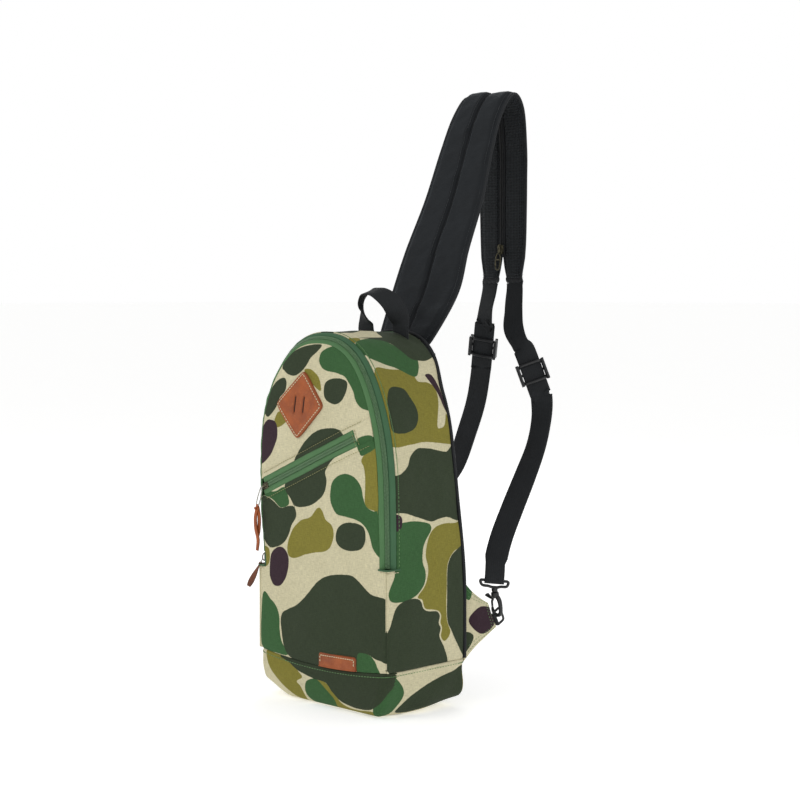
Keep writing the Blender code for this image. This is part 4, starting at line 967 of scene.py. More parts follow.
# colour coordinates: right half of the strip from the right, left half mirrored and slid along
arc = Sg * 1000.0
yy = (yf[:, None] + REL) * 1000.0
mid_s = LENGTH / 2 * 1000.0
left_blobs = shifted(SIDE_BLOBS, lambda s, y: (LENGTH * 1000.0 - (s * 0.965 - 14.0), 6.0 - y * 0.95))
A = {}
Q1 = np.stack([arc.ravel(), yy.ravel()], 1)
right_keep = {c: [l for l in v] for c, v in SIDE_BLOBS.items()}
for c in ("dark", "mid", "olive", "plum"):
    a = inside(Q1, right_keep.get(c, []))
    lb = [l for l in left_blobs.get(c, []) if min(p[0] for p in l) > mid_s + 88.0]
    b = inside(Q1, lb)
    A[c] = np.maximum(a, b)
bridge = {"dark": [[(445, -52), (462, -50), (475, -34), (476, -12), (462, 0), (448, -6), (440, -28)],
                   [(400, 8), (428, 4), (444, 20), (438, 46), (420, 56), (400, 44)], [(492, 4), (520, 8), (536, 26), (530, 54), (506, 56), (492, 42), (500, 22)]],
          "mid": [[(440, 18), (462, 12), (486, 20), (494, 38), (480, 52), (452, 50), (436, 36)]],
          "olive": [[(500, -40), (520, -46), (540, -30), (542, -4), (524, 8), (505, 2), (496, -20)]],
          "plum": [[(503, 22), (514, 20), (520, 30), (512, 40), (502, 36)]]}
for c in A:
    A[c] = np.maximum(A[c], inside(Q1, bridge[c]))
gflat = np.stack([Sg, yf[:, None] + REL], -1)
slab("camo_side_gusset", swell(G), swell(Gi), CAMO, "bag", "camo", ("side_gusset",), A, gflat, angle=60)

# ---- boot
def boot_ring(zz, inset_, r_front=0.0125, r_back=0.007, k=9, step=0.003):
    x1, y0, y1 = HALF_W - inset_, y_front(zz) + inset_, y_back(zz) - inset_
    rf, rb = max(0.002, r_front - inset_), max(0.002, r_back - inset_)
    pts, tag = [], []
    nf, nsd, nb = 60, 34, 60
    for i in range(nf + 1):      # front, left to right
        pts.append((-(x1 - rf) + 2 * (x1 - rf) * i / nf, y0))
    for i in range(1, k):
        a = math.radians(-90 + 90 * i / k)
        pts.append((x1 - rf + rf * math.cos(a), y0 + rf + rf * math.sin(a)))
    for i in range(nsd + 1):     # right side, front to back
        pts.append((x1, y0 + rf + (y1 - rb - y0 - rf) * i / nsd))
    for i in range(1, k):
        a = math.radians(90 * i / k)
        pts.append((x1 - rb + rb * math.cos(a), y1 - rb + rb * math.sin(a)))
    for i in range(nb + 1):
        pts.append(((x1 - rb) - 2 * (x1 - rb) * i / nb, y1))
    for i in range(1, k):
        a = math.radians(90 + 90 * i / k)
        pts.append((-(x1 - rb) + rb * math.cos(a), y1 - rb + rb * math.sin(a)))
    for i in range(nsd + 1):
        pts.append((-x1, y1 - rb - (y1 - rb - y0 - rf) * i / nsd))
    for i in range(1, k):
        a = math.radians(180 + 90 * i / k)
        pts.append((-(x1 - rf) + rf * math.cos(a), y0 + rf + rf * math.sin(a)))
    return np.array(pts)


levels = [(0.0, 0.0150), (0.0003, 0.0105), (0.0014, 0.0072), (0.0034, 0.0046), (0.0062, 0.0028), (0.0098, 0.0016), (0.014, 0.0008),
          (0.019, 0.0002), (0.024, -0.0002), (0.029, -0.0003), (0.034, -0.0002), (0.038, 0.0), (0.0415, 0.0001), (0.0444, 0.0001),
          (0.0464, 0.0), (0.0480, 0.0001), (0.0492, 0.0004), (0.0499, 0.0011), (0.0500, 0.0020)]
lv = np.array(levels)
zz = np.unique(np.r_[np.linspace(0, 0.0500, 40), lv[:, 0]])
lv = np.stack([zz, np.interp(zz, lv[:, 0], lv[:, 1])], 1)
rings = []
base = boot_ring(0.03, 0.0)
cen = np.array([0.0, (y_front(0.03) + y_back(0.03)) / 2])
for zz, ins in lv:
    r = boot_ring(zz, ins)
    R3 = np.c_[r, np.full(len(r), zz)]
    rings.append(R3)
R = np.array(rings)
out = unit(np.c_[base - np.roll(base, -1, 0), np.zeros(len(base))])
out = np.stack([-out[:, 1], out[:, 0], np.zeros(len(base))], 1)
if ((base - cen) * out[:, :2]).sum() < 0:
    out = -out
per = np.r_[0, np.cumsum(np.linalg.norm(np.diff(base, axis=0), axis=1))]
wob = waves(np.stack([np.repeat(per[None], len(R), 0), R[..., 2]], -1) * np.array([1.0, 1.3]), 20.0, 31) * 0.0005
fade = ease(R[..., 2] / 0.012) * ease((0.050 - R[..., 2]) / 0.006)
R = R + out[None] * (wob * fade)[..., None]
# flatten the underside: a bottom sheet closes the ring
bz = np.zeros(len(base))
rr = [1.0, 0.72, 0.44, 0.16]
under = []
for q in rr[1:][::-1]:
    under.append(np.c_[cen + (R[0][:, :2] - cen) * q, bz])
inner = []
for zz, ins in ((0.0480, 0.0030), (0.030, 0.0026), (0.012, 0.0042), (0.0055, 0.0075), (0.0034, 0.0140)):
    inner.append(np.c_[boot_ring(zz, ins), np.full(len(base), zz)])
inner_floor = [np.c_[cen + (inner[-1][:, :2] - cen) * q, np.full(len(base), 0.0034)] for q in (0.6, 0.2)]
ALL = np.array(under + list(R) + inner + inner_floor)
ALL0 = ALL
# colour coordinates
nfp = 61
P2 = ALL.reshape(-1, 3)
Ax = {}
Qf = np.stack([P2[:, 0], P2[:, 2]], 1) * 1000
Qs = np.stack([P2[:, 2], P2[:, 1]], 1) * 1000
is_front = P2[:, 1] < y_front(0.03) + 0.0075
is_left = P2[:, 0] < 0
is_back = P2[:, 1] > y_back(0.03) - 0.004
extra_back = {"dark": [[(-95, 52), (-60, 55), (-40, 40), (-30, 18), (-50, -4), (-100, -6), (-115, 20)], [(40, 55), (70, 50), (84, 30), (70, 8), (45, 2), (30, 20)]],
              "mid": [[(-14, 48), (10, 52), (22, 36), (14, 14), (-8, 8), (-22, 26)]], "olive": [[(86, 40), (100, 44), (112, 20), (104, -4), (84, -6), (78, 12)]], "plum": []}
lside = shifted(BOOT_SIDE, lambda a, b: (a, b))
lextra = {"olive": [[(14, -60), (34, -56), (46, -40), (40, -28), (22, -34), (8, -50)]], "mid": [[(2, -20), (22, -26), (34, -8), (24, 10), (8, 6), (-4, -6)]],
          "dark": [[(12, 70), (52, 66), (54, 30), (36, 14), (20, 24), (10, 44)]], "plum": []}
bottom_blobs = {"dark": [[(-80, -30), (-30, -44), (0, -20), (-10, 10), (-60, 18), (-90, 0)]], "mid": [[(20, 10), (60, 4), (80, 30), (50, 46), (18, 40)]],
                "olive": [[(30, -40), (80, -46), (92, -20), (60, -8), (36, -16)]], "plum": []}
Qb = np.stack([P2[:, 0], P2[:, 1]], 1) * 1000
for c in ("dark", "mid", "olive", "plum"):
    a_f = inside(Qf, BOOT_FRONT.get(c, []))
    a_s = inside(Qs, BOOT_SIDE.get(c, []))
    a_l = inside(Qs, lextra.get(c, []))
    a_b = inside(Qf, extra_back.get(c, []))
    a_u = inside(Qb, bottom_blobs.get(c, []))
    a = np.where(is_front, a_f, np.where(is_back, a_b, np.where(is_left, a_l, a_s)))
    # the colours run on round the front right corner
    cor = (P2[:, 0] > HALF_W - 0.0125) & (P2[:, 1] < y_front(0.03) + 0.0125)
    a = np.where(cor, np.maximum(a_f, a_s), a)
    a = np.where(P2[:, 2] < 0.0004, a_u, a)
    Ax[c] = a
bflat = np.stack([np.repeat(per[None], len(ALL), 0), ALL[..., 2]], -1)
bflat[..., 1] = np.where(ALL[..., 2] < 0.0005, ALL[..., 1], ALL[..., 2])
skin("camo_boot", lift_base(swell(ALL)), CAMO, "bag", "camo", ("base_boot",), attrs=Ax, flat=bflat.reshape(-1, 2), angle=60)

# ================================================================ main zip
a0, a1 = HINGE_Z + 0.0004, LENGTH - HINGE_Z - 0.0004
a1t = LENGTH - (HINGE_Z - ZIP_TAIL) - 0.0004


def corner_band(name, prof, s_lo, s_hi, mat, body, slot, rep, wob=0.0, seed=5, step=STEP, **kw):
    """Sweep a closed profile of (across, out) along the zip corner. Entries with a third value are (inset, y) instead."""
    s = np.linspace(s_lo, s_hi, int((s_hi - s_lo) / step) + 1)
    x, z, nx, nz = outline(s)
    ring = []
    acc = 0.0
    fl = []
    for k, p in enumerate(prof):
        if len(p) == 2:
            off, dy = (p[0] - p[1]) * R2, CHAMFER - (p[0] + p[1]) * R2
        else:
            off, dy = p[0], p[1]
        w = wob * waves(np.stack([s, np.full_like(s, k * 0.0006)], -1), 70.0, seed) * (0.0 if k in (0, len(prof) - 1) else 1.0)
        ring.append(np.stack([x + nx * (off - w * R2), y_front(z) + dy - w * R2, z + nz * (off - w * R2)], -1))
        acc = p[0]
        fl.append(np.stack([np.full_like(s, acc), s], -1))
    Rg = np.stack(ring, 1)
    flt = np.stack(fl, 1)
    return skin(name, swell(Rg), mat, body, slot, rep, flat=flt.reshape(-1, 2), **kw)


corner_band("zip_band_inner", [(0.0112, -0.0014), (0.0112, 0.0001), (0.0116, 0.0008), (0.0124, 0.0013), (0.0136, 0.0016), (0.0150, 0.0016),
                               (0.0160, 0.0011), (0.0167, 0.0000), (0.0160, -0.0014)],
            a0, a1, PUFFY, "front_flap", "green_tape", ("main_zip_inner_tape",), wob=0.00022, angle=70)
corner_band("zip_tape_outer", [(0.0064, -0.0012), (0.0064, 0.0000), (0.0056, 0.0006), (0.0042, 0.0009), (0.0026, 0.0008), (0.0012, 0.0003), (0.0002, -0.0006), (0.0006, -0.0016)],
            a0, a1t, TAPE, "bag", "green_tape", ("main_zip_outer_tape",), wob=0.00012, angle=70)
corner_band("zip_cord_outer", [(0.0060, -0.0012), (0.0060, -0.0005), (0.0066, -0.0001), (0.0088, -0.0002), (0.0089, -0.0012)],
            a0, a1t, TAPE, "bag", "green_coil", ())
corner_band("zip_cord_inner", [(0.0091, -0.0012), (0.0091, -0.0002), (0.0113, -0.0001), (0.0118, -0.0004), (0.0118, -0.0012)],
            a0, a1, TAPE, "front_flap", "green_coil", ())


def teeth(S, place, pitch, a_in, a_out, height, lean, thick):
    """Coil turns: rounded little bars across the chain. place(s, a, d) gives points."""
    parts = []
    n = int((S[1] - S[0]) / pitch)
    s = S[0] + (np.arange(n) + 0.5) * pitch
    ang = np.arange(6) * math.pi / 3
    # ends and middle of each bar
    prof = [(a_in, 0.35, 0.55), (a_in + (a_out - a_in) * 0.18, 0.95, 1.0), (a_in + (a_out - a_in) * 0.82, 0.95, 1.0), (a_out, 0.3, 0.55)]
    V = []
    for a, hh, rr_ in prof:
        for k in range(6):
            ds = math.cos(ang[k]) * thick * rr_ + lean * (a - a_in) / (a_out - a_in)
            dd = height * (0.5 * hh) + math.sin(ang[k]) * height * 0.5 * rr_
            V.append(place(s + ds, np.full(n, a), np.full(n, dd)))
    V = np.stack(V, 1)          # n, 24, 3
    base_faces = []
    for r_ in range(3):
        for k in range(6):
            base_faces.append([r_ * 6 + k, r_ * 6 + (k + 1) % 6, (r_ + 1) * 6 + (k + 1) % 6, (r_ + 1) * 6 + k])
    base_faces.append([5, 4, 3, 2, 1, 0])
    base_faces.append([18, 19, 20, 21, 22, 23])
    faces = [[i + 24 * j for i in fc] for j in range(n) for fc in base_faces]
    return V.reshape(-1, 3), faces


place = lambda s, a, d: swell(corner(s, a, d))
PITCH = 0.0014
v, fc = teeth((a0, a1t), place, PITCH, 0.0066, 0.0092, 0.0013, 0.0005, 0.00048)
build("zip_teeth_outer", v, fc, COIL, "bag", "green_coil", ("main_zip_outer_chain",), angle=50)
v, fc = teeth((a0 + PITCH / 2, a1), place, PITCH, 0.0114, 0.0088, 0.0013, 0.0005, 0.00048)
build("zip_teeth_inner", v, fc, COIL, "front_flap", "green_coil", ("main_zip_inner_chain",), angle=50)

# lower tail on the left: the closed chain runs on below the fold line
zz = np.linspace(HINGE_Z - ZIP_TAIL + 0.0004, HINGE_Z - 0.0004, 12)
tail_s = LENGTH - zz
prof = [(0.0091, -0.0012), (0.0091, 0.0), (0.0114, 0.0001), (0.0120, 0.0007), (0.0140, 0.0009), (0.0158, 0.0006), (0.0170, 0.0), (0.0170, -0.0012)]
Rg = np.stack([swell(corner(tail_s, np.full_like(tail_s, a), np.full_like(tail_s, d))) for a, d in prof], 1)
fl = np.stack([np.stack([np.full_like(zz, a), zz], -1) for a, d in prof], 1)
skin("zip_tail_tape", Rg, TAPE, "bag", "green_tape", ("main_zip_lower_tail",), flat=fl.reshape(-1, 2), angle=70)
v, fc = teeth((tail_s.min(), tail_s.max()), place, PITCH, 0.0114, 0.0088, 0.0013, 0.0005, 0.00048)
build("zip_teeth_tail", v, fc, COIL, "bag", "green_coil", (), angle=50)

# ================================================================ pocket zip
DS0 = -0.0862 / math.cos(DIAG)
END_S = DIAG_END / math.cos(DIAG)


def diag_band(name, prof, s_lo, s_hi, mat, rep, slot="green_tape", wob=0.0, seed=3):
    s = np.linspace(s_lo, s_hi, 70)
    ring, fl = [], []
    for k, (o, d) in enumerate(prof):
        w = wob * waves(np.stack([s, np.full_like(s, o)], -1), 60.0, seed) * (0 if k in (0, len(prof) - 1) else 1)
        ring.append(diag_point(s, np.full_like(s, o), d - w))
        fl.append(np.stack([np.full_like(s, o), s], -1))
    return skin(name, swell(np.stack(ring, 1)), mat, "front_flap", slot, rep, flat=np.stack(fl, 1).reshape(-1, 2), angle=70)


diag_band("pocket_band_upper", [(0.0030, 0.0018), (0.0030, -0.0001), (0.0036, -0.0008), (0.0050, -0.0012), (0.0072, -0.0012), (0.0090, -0.0006), (0.0103, 0.0006), (0.0104, 0.0018)],
          DS0 + 0.0048, END_S, PUFFY, ("pocket_zip_tape_upper",), wob=0.00015)
diag_band("pocket_band_lower", [(-0.0030, 0.0018), (-0.0030, -0.0001), (-0.0036, -0.0008), (-0.0050, -0.0012), (-0.0072, -0.0012), (-0.0090, -0.0006), (-0.0103, 0.0006), (-0.0104, 0.0018)],
          DS0, END_S, PUFFY, ("pocket_zip_tape_lower",), wob=0.00015, seed=4)
diag_band("pocket_zip_cord", [(-0.0031, 0.0018), (-0.0031, 0.0002), (-0.0004, 0.0004), (0.0004, 0.0004), (0.0031, 0.0002), (0.0031, 0.0018)],
          DS0 + 0.0010, END_S, TAPE, (), "green_coil")
dplace = lambda s, a, d: swell(diag_point(s, a, 0.0003 - d))
v, fc = teeth((DS0 + 0.002, END_S), dplace, PITCH, 0.0028, -0.0001, 0.0014, 0.0005, 0.00048)
build("pocket_teeth_upper", v, fc, COIL, "front_flap", "green_coil", ("pocket_zip_chain_upper",), angle=50)
v, fc = teeth((DS0 + 0.001 + PITCH / 2, END_S), dplace, PITCH, -0.0028, 0.0001, 0.0014, 0.0005, 0.00048)
build("pocket_teeth_lower", v, fc, COIL, "front_flap", "green_coil", ("pocket_zip_chain_lower",), angle=50)

# ================================================================ stitching on the shell
s = np.arange(sr + 0.001, sl - 0.001, 0.002)
x, z, nx, nz = outline(s)
P = np.stack([x + nx * 0.0001, y_front(z) + CHAMFER + 0.0036, z + nz * 0.0001], -1)
v, fc = stitches(swell(P), np.stack([-nx, 0 * nx, -nz], -1), 0.0042, 0.0030, 0.00046)
build("stitch_gusset", v, fc, THREAD_GREEN, "bag", None)
jobs = []
s = np.linspace(DS0 - 0.001, END_S + 0.016, 90)
for nm, o, sg in (("upper", DIAG_HALF + 0.0034, 1), ("lower", -DIAG_HALF - 0.0034, -1)):
    P = diag_point(s, np.full_like(s, o), -0.0006)
    ok = (np.abs(P[:, 0]) < HALF_W - EDGE_HI - 0.002) & (P[:, 2] < arch_z(P[:, 0], EDGE_HI + 0.001))
    P = P[ok]
    P[:, 1] += wrinkle(P[:, 0], P[:, 2])
    v, fc = stitches(swell(P), (0, -1, 0), 0.0038, 0.0026, 0.00032)
    build("stitch_pocket_" + nm, v, fc, THREAD_OLIVE, "front_flap", None)
parts = []
for o_s in (END_S - 0.0022, END_S + 0.0028):
    o = np.linspace(-DIAG_HALF + 0.001, DIAG_HALF - 0.001, 12)
    parts.append(stitches(swell(diag_point(np.full_like(o, o_s), o, -0.0010)), (0, -1, 0), 0.0036, 0.0026, 0.0003))
v, fc = many(parts)
build("stitch_zip_end", v, fc, THREAD_OLIVE, "front_flap", None)
# round the boot's top edge
r = boot_ring(0.0462, 0.0)
P = np.c_[np.r_[r, r[:1]], np.full(len(r) + 1, 0.0462)]
nn = np.r_[out, out[:1]]
v, fc = stitches(lift_base(swell(P)), nn, 0.0040, 0.0029, 0.00042)
build("stitch_boot", v, fc, THREAD_GREEN, "bag", None)
# the turned hem across the foot of the zip, on the right at the fold line and on the left below it
parts, hems = [], []
for side, zz in ((1, HINGE_Z - 0.0002), (-1, HINGE_Z - ZIP_TAIL - 0.0002)):
    yq = float(y_front(zz))
    hem = np.array([(0.0124, -0.0003), (0.0070, -0.0007), (0.0030, -0.0005), (0.0007, 0.0006), (-0.0003, 0.0040), (-0.0004, 0.0100), (-0.0003, 0.0172)])
    pts = spline(np.stack([side * (HALF_W - hem[:, 0]), yq + hem[:, 1], np.full(len(hem), zz)], 1), 5)
    hems.append(tube_data(wire(swell(pts), 0.0010, 10)))
    low_ = pts + np.array([0, 0, -0.0028])
    fr_ = np.linspace(0, 1, len(pts))
    k_ = ease((fr_ - 0.40) / 0.20)[:, None]
    no_ = unit(np.array([0, -1.0, 0]) * (1 - k_) + np.array([side * 1.0, 0, 0]) * k_)
    parts.append(stitches(swell(low_) + no_ * 0.0002, no_, 0.0036, 0.0026, 0.00046))
v, fc = many(hems)
build("zip_end_hems", v, fc, TAPE, "bag", "green_tape", ())
v, fc = many(parts)
build("stitch_zip_hem", v, fc, THREAD_CREAM, "bag", None)

# ================================================================ leather
PATCH_C, PATCH_R = (-0.0232, 0.3232), 0.0386
n = 64
g = np.sin(np.linspace(-math.pi / 2, math.pi / 2, n)) * 0.35 + np.linspace(-1, 1, n) * 0.65
a, b = np.meshgrid(g, g, indexing="ij")
shrink = 1 - 0.075 * (np.abs(a) ** 6 * np.abs(b) ** 6)
px, pz = (a - b) / 2 * PATCH_R * shrink, (a + b) / 2 * PATCH_R * shrink
edge = (1 - np.maximum(np.abs(a), np.abs(b))) * PATCH_R * R2
lift = 0.0021 * np.sqrt(np.clip(1 - (1 - np.clip(edge / 0.0012, 0, 1)) ** 2, 0, 1))
lift -= 0.0005 * np.exp(-((edge - 0.0029) / 0.0007) ** 2)
slit = np.zeros_like(px)
for cx in (-0.0068, 0.0068):
    dx, dz = np.abs(px - cx), np.maximum(np.abs(pz - 0.0005) - 0.0085, 0)
    dd = np.hypot(dx, dz)
    slit = np.maximum(slit, ease((0.0019 - dd) / 0.0008) * ease((dd - 0.0002) / 0.0008) + 0.55 * ease((0.0009 - dd) / 0.0006))
lift -= 0.0011 * slit
X, Z = PATCH_C[0] + px + 0.11 * pz, PATCH_C[1] + pz
Yp = y_front(Z) - 0.0004 - lift
F = swell(np.stack([X, Yp, Z], -1))
B = swell(np.stack([X, y_front(Z) - 0.0002 + 0 * X, Z], -1))
# painted shade: the edge attribute darkens the patch's cut edge, its own tone, and also the leather dipping into the
# two slits, where shade falls
edge_tone_and_slit_shade = np.clip(1 - edge / 0.0022, 0, 1) * 0.9 + slit * 1.6
slab("leather_diamond", F, B, TAN, "front_flap", "leather", ("leather_patch",), {"edge": np.clip(edge_tone_and_slit_shade, 0, 1)}, angle=50)
k = np.linspace(-1, 1, 24)
loop = []
q = 1 - 0.0030 / (PATCH_R * R2)
for (a0_, b0_), (a1_, b1_) in (((q, -q), (q, q)), ((q, q), (-q, q)), ((-q, q), (-q, -q)), ((-q, -q), (q, -q))):
    for t in np.linspace(0, 1, 20)[:-1]:
        aa, bb = a0_ + (a1_ - a0_) * t, b0_ + (b1_ - b0_) * t
        sh = 1 - 0.075 * (abs(aa) ** 6 * abs(bb) ** 6)
        loop.append((PATCH_C[0] + (aa - bb) / 2 * PATCH_R * sh + 0.11 * (aa + bb) / 2 * PATCH_R * sh, PATCH_C[1] + (aa + bb) / 2 * PATCH_R * sh))
loop.append(loop[0])
loop = np.array(loop)
P = np.stack([loop[:, 0], y_front(loop[:, 1]) - 0.0023, loop[:, 1]], -1)
v, fc = stitches(swell(P), (0, -1, 0), 0.0036, 0.0026, 0.00048)
build("stitch_diamond", v, fc, THREAD_CREAM, "front_flap", None)
# painted shadow: dark tubes of black tape lie in the two slits, where there is only shade
parts = []
for cx in (-0.0068, 0.0068):
    zz_ = np.linspace(-0.0078, 0.0088, 12)
    sl_ = np.stack([PATCH_C[0] + cx + 0.11 * zz_, y_front(PATCH_C[1] + zz_) - 0.0016, PATCH_C[1] + zz_], 1)
    parts.append(tube_data(wire(swell(sl_), 0.00062, 8)))
v, fc = many(parts)
build("diamond_slit_shadows", v, fc, BLACKTAPE, "front_flap", "dark_leather")

# label in the boot seam
nx_, nz_ = 80, 30
u = np.linspace(0, 1, nx_)
w = np.linspace(0, 1, nz_)
U, W = np.meshgrid(u, w, indexing="ij")
x0, x1, z0, z1, rad = 0.0012, 0.0575, 0.0508, 0.0646, 0.0034
Xl = x0 + (x1 - x0) * (0.5 - 0.5 * np.cos(U * math.pi)) * 0.35 + (x1 - x0) * U * 0.65
Zl = z0 + (z1 - z0) * W
cut = np.maximum(0, Zl - (z1 - rad))
pull = rad - np.sqrt(np.maximum(rad ** 2 - cut ** 2, 0))
mx = (x0 + x1) / 2
hw = (x1 - x0) / 2
Xl = mx + (Xl - mx) * (hw - pull) / hw
edge = np.minimum(np.minimum(Xl - x0 - pull, x1 - pull - Xl), z1 - Zl)
lift = 0.0017 * np.sqrt(np.clip(1 - (1 - np.clip(edge / 0.0011, 0, 1)) ** 2, 0, 1)) - 0.0004 * np.exp(-((edge - 0.0026) / 0.0006) ** 2)
Yl = y_front(Zl) - 0.0002 - lift - 0.0007 * ease((0.0535 - Zl) / 0.004)
F = swell(np.stack([Xl, Yl, Zl], -1))
B = swell(np.stack([Xl, y_front(Zl) + 0.0004 + 0 * Xl, Zl], -1))
slab("leather_label_piece", F, B, TAN, "bag", "leather", ("leather_label",), {"edge": np.clip(1 - edge / 0.0020, 0, 1)}, angle=50)
q = 0.0026
path = [(x0 + q, z0 + 0.004), (x0 + q, z1 - rad), (x0 + rad, z1 - q), (x1 - rad, z1 - q), (x1 - q, z1 - rad), (x1 - q, z0 + 0.004)]
P = np.array([(a, y_front(b) - 0.0018, b) for a, b in path])
v, fc = stitches(swell(P), (0, -1, 0), 0.0034, 0.0024, 0.00052)
build("stitch_label", v, fc, THREAD_CREAM, "bag", None)

# ================================================================ sliders and pulls


def slider_piece(name, centre, run, outv, half, width, top, bottom, mat, body, rep):
    """Zip slider: two rounded plates, a post and a bail over the top. run points where it closes."""
    C, U, N = np.array(centre, float), unit(run), unit(outv)
    W = np.cross(U, N)
    t = np.linspace(0, 2 * math.pi, 28, endpoint=False)
    shape = []
    for a in t:
        c_, s_ = math.cos(a), math.sin(a)
        uu = half * np.sign(c_) * abs(c_) ** 0.75
        ww = width * (1.0 if c_ > 0 else 0.80) * np.sign(s_) * abs(s_) ** 0.62
        ww *= 1 - 0.16 * (0.5 - 0.5 * math.cos(2 * a)) * (1 if c_ < 0.2 else 0)
        shape.append((uu, ww))
    parts = [plate(shape, bottom[0], bottom[1], C, U, W, N, 0.0003), plate(shape, top[0], top[1], C, U, W, N, 0.0004)]
    # side lips of the top plate
    for sg in (-1, 1):
        lp = [C + U * k * half * 0.85 + W * sg * width * (0.93 - 0.05 * abs(k)) + N * (top[0] - 0.0001) for k in (-1, -0.5, 0, 0.5, 1)]
        parts.append(tube_data(wire(spline(lp, 3), 0.0006, 8)))
    parts.append(bar(C + U * half * 0.62 + N * bottom[1], C + U * half * 0.62 + N * top[0], 0.0007, 8))
    bail = [C + U * half * 0.72 + N * top[1] * 0.97, C + U * half * 0.55 + N * (top[1] + 0.0011), C + U * 0.0 + N * (top[1] + 0.0020),
            C - U * half * 0.55 + N * (top[1] + 0.0017), C - U * half * 0.85 + N * (top[1] + 0.0005), C - U * half * 0.88 + N * top[1] * 0.97]
    b = spline(bail, 5)
    ring = wire(b, 0.00062, 8)
    mid_ = ring.mean(1, keepdims=True)
    ring = mid_ + (ring - mid_) + ((ring - mid_) @ W)[..., None] * W * 0.9
    parts.append(tube_data(ring))
    v_, f_ = many(parts)
    return build(name, v_, f_, mat, body, "antique_metal", rep, angle=45)


def strip_piece(name, pts, across, half_w, thick, mat, body, slot, rep, attr_edge=True, per=5):
    """Leather strip with rounded edges."""
    c = spline(pts, per)
    A_ = unit(np.broadcast_to(np.asarray(across, float), c.shape))
    t = unit(np.gradient(c, axis=0))
    A_ = unit(A_ - t * (A_ * t).sum(1)[:, None])
    N_ = np.cross(t, A_)
    hw_ = spline(np.c_[half_w, np.zeros(len(half_w)), np.zeros(len(half_w))], per)[:, 0]
    prof = [(-1, 0), (-0.94, 0.75), (-0.7, 1), (0, 1.06), (0.7, 1), (0.94, 0.75), (1, 0), (0.94, -0.75), (0.7, -1), (0, -1), (-0.7, -1), (-0.94, -0.75)]
    R_ = np.stack([c + A_ * (hw_ * a_)[:, None] + N_ * (thick * b_) for a_, b_ in prof], 1)
    e_ = np.tile(np.array([1, .7, .15, 0, .15, .7, 1, .7, .3, .2, .3, .7]), len(c))
    return skin(name, R_, mat, body, slot, rep, attrs={"edge": e_}, angle=60)


# main zip
SL_Z = HINGE_Z - 0.0065
st_mid = (0.0085 + 0.0095) / 2
MAIN_C = np.array([-HALF_W + st_mid * R2, float(y_front(SL_Z)) + CHAMFER - st_mid * R2, SL_Z])
MAIN_OUT = np.array([-R2, -R2, 0.0])
slider_piece("main_zip_slider_piece", MAIN_C, (0, 0, 1), MAIN_OUT, 0.0050, 0.0034, (0.0015, 0.0027), (-0.0026, -0.0016), ANTIQUE, "main_slider", ("main_zip_slider",))
MAIN_PIV = MAIN_C + MAIN_OUT * 0.0050 + np.array([0, 0, -0.0030])
md = unit(np.array([-0.0110, -0.0085, -0.0270]))
mw = unit(np.cross(md, MAIN_OUT))
pts = [MAIN_PIV + md * (0.0048 + 0.0293 * i / 6) + mw * (0.0007 * math.sin(i * 1.1)) for i in range(7)]
mf = unit(MAIN_OUT - md * (MAIN_OUT @ md))
tw = np.radians(np.interp(np.linspace(0, 1, 31), np.linspace(0, 1, 7), (0, 8, 30, 52, 68, 76, 80)))
strip_piece("main_pull_leather", pts, mw * np.cos(tw)[:, None] + mf * np.sin(tw)[:, None], [0.0020, 0.0024, 0.0028, 0.0031, 0.0033, 0.0032, 0.0022], 0.0009, BROWN, "main_pull", "dark_leather", ("main_zip_pull",))
t = np.linspace(0, 2 * math.pi, 28, endpoint=False)
ring = np.array([MAIN_PIV + md * (0.0024 - 0.0024 * math.cos(q_)) + mw * (0.0024 * math.sin(q_)) for q_ in t])
skin("main_pull_wire", wire(ring, 0.0005, 8, closed=True, up=MAIN_OUT), NICKEL, "main_pull", "wire", ("main_zip_pull_ring",), closed=True)
# a turn of leather through the ring
ring2 = np.array([MAIN_PIV + md * (0.0050 - 0.0016 * math.cos(q_)) + MAIN_OUT * (0.0013 * math.sin(q_)) for q_ in t])
rr_ = wire(ring2, 0.0006, 8, closed=True, up=mw)
m_ = rr_.mean(1, keepdims=True)
rr_ = rr_ + ((rr_ - m_) @ mw)[..., None] * mw * 2.2
skin("main_pull_loop", rr_, BROWN, "main_pull", "dark_leather", (), closed=True, attrs={"edge": np.full(rr_.shape[0] * rr_.shape[1], 0.3)})

# pocket zip
PS = -0.0830 / math.cos(DIAG)
POC_C = diag_point(PS, 0.0, 0.0003) + np.array([0, -0.0020, 0])
slider_piece("pocket_zip_slider_piece", POC_C + np.array([0, -0.0008, 0]), along, (0, -1, 0), 0.0050, 0.0034, (0.0015, 0.0027), (-0.0026, -0.0016), ANTIQUE,
             "pocket_slider", ("pocket_zip_slider",))
POC_PIV = POC_C + along * -0.0045 + np.array([0, -0.0052, 0])
wire_end = np.array([-0.0925, POC_PIV[1] - 0.0015, POC_PIV[2] - 0.0210])
wdir = unit(wire_end - POC_PIV)
wac = unit(np.cross(wdir, [0, 1, 0]))
wl = np.linalg.norm(wire_end - POC_PIV)
lp = []
for q_ in np.linspace(0, 2 * math.pi, 44, endpoint=False):
    lp.append(POC_PIV + wdir * (wl / 2 - wl / 2 * math.cos(q_)) + wac * (0.0030 * np.sign(math.sin(q_)) * abs(math.sin(q_)) ** 0.7 * (0.78 - 0.22 * math.cos(q_))))
skin("pocket_pull_wire_piece", wire(np.array(lp), 0.0007, 10, closed=True, up=(0, 1, 0)), NICKEL, "pocket_pull", "wire", ("pocket_pull_wire",), closed=True)
tt = wire_end + np.array([0, 0, -0.0012])
end_ = np.array([-0.0930, POC_PIV[1] - 0.0010, 0.1590])
knot = []
for q_ in np.linspace(0, 2 * math.pi, 26, endpoint=False):
    knot.append(tt + np.array([0.0026 * math.cos(q_), 0.0018 * math.sin(q_) - 0.0006, -0.0022 + 0.0013 * math.sin(2 * q_)]))
kr = wire(np.array(knot), 0.0011, 8, closed=True)
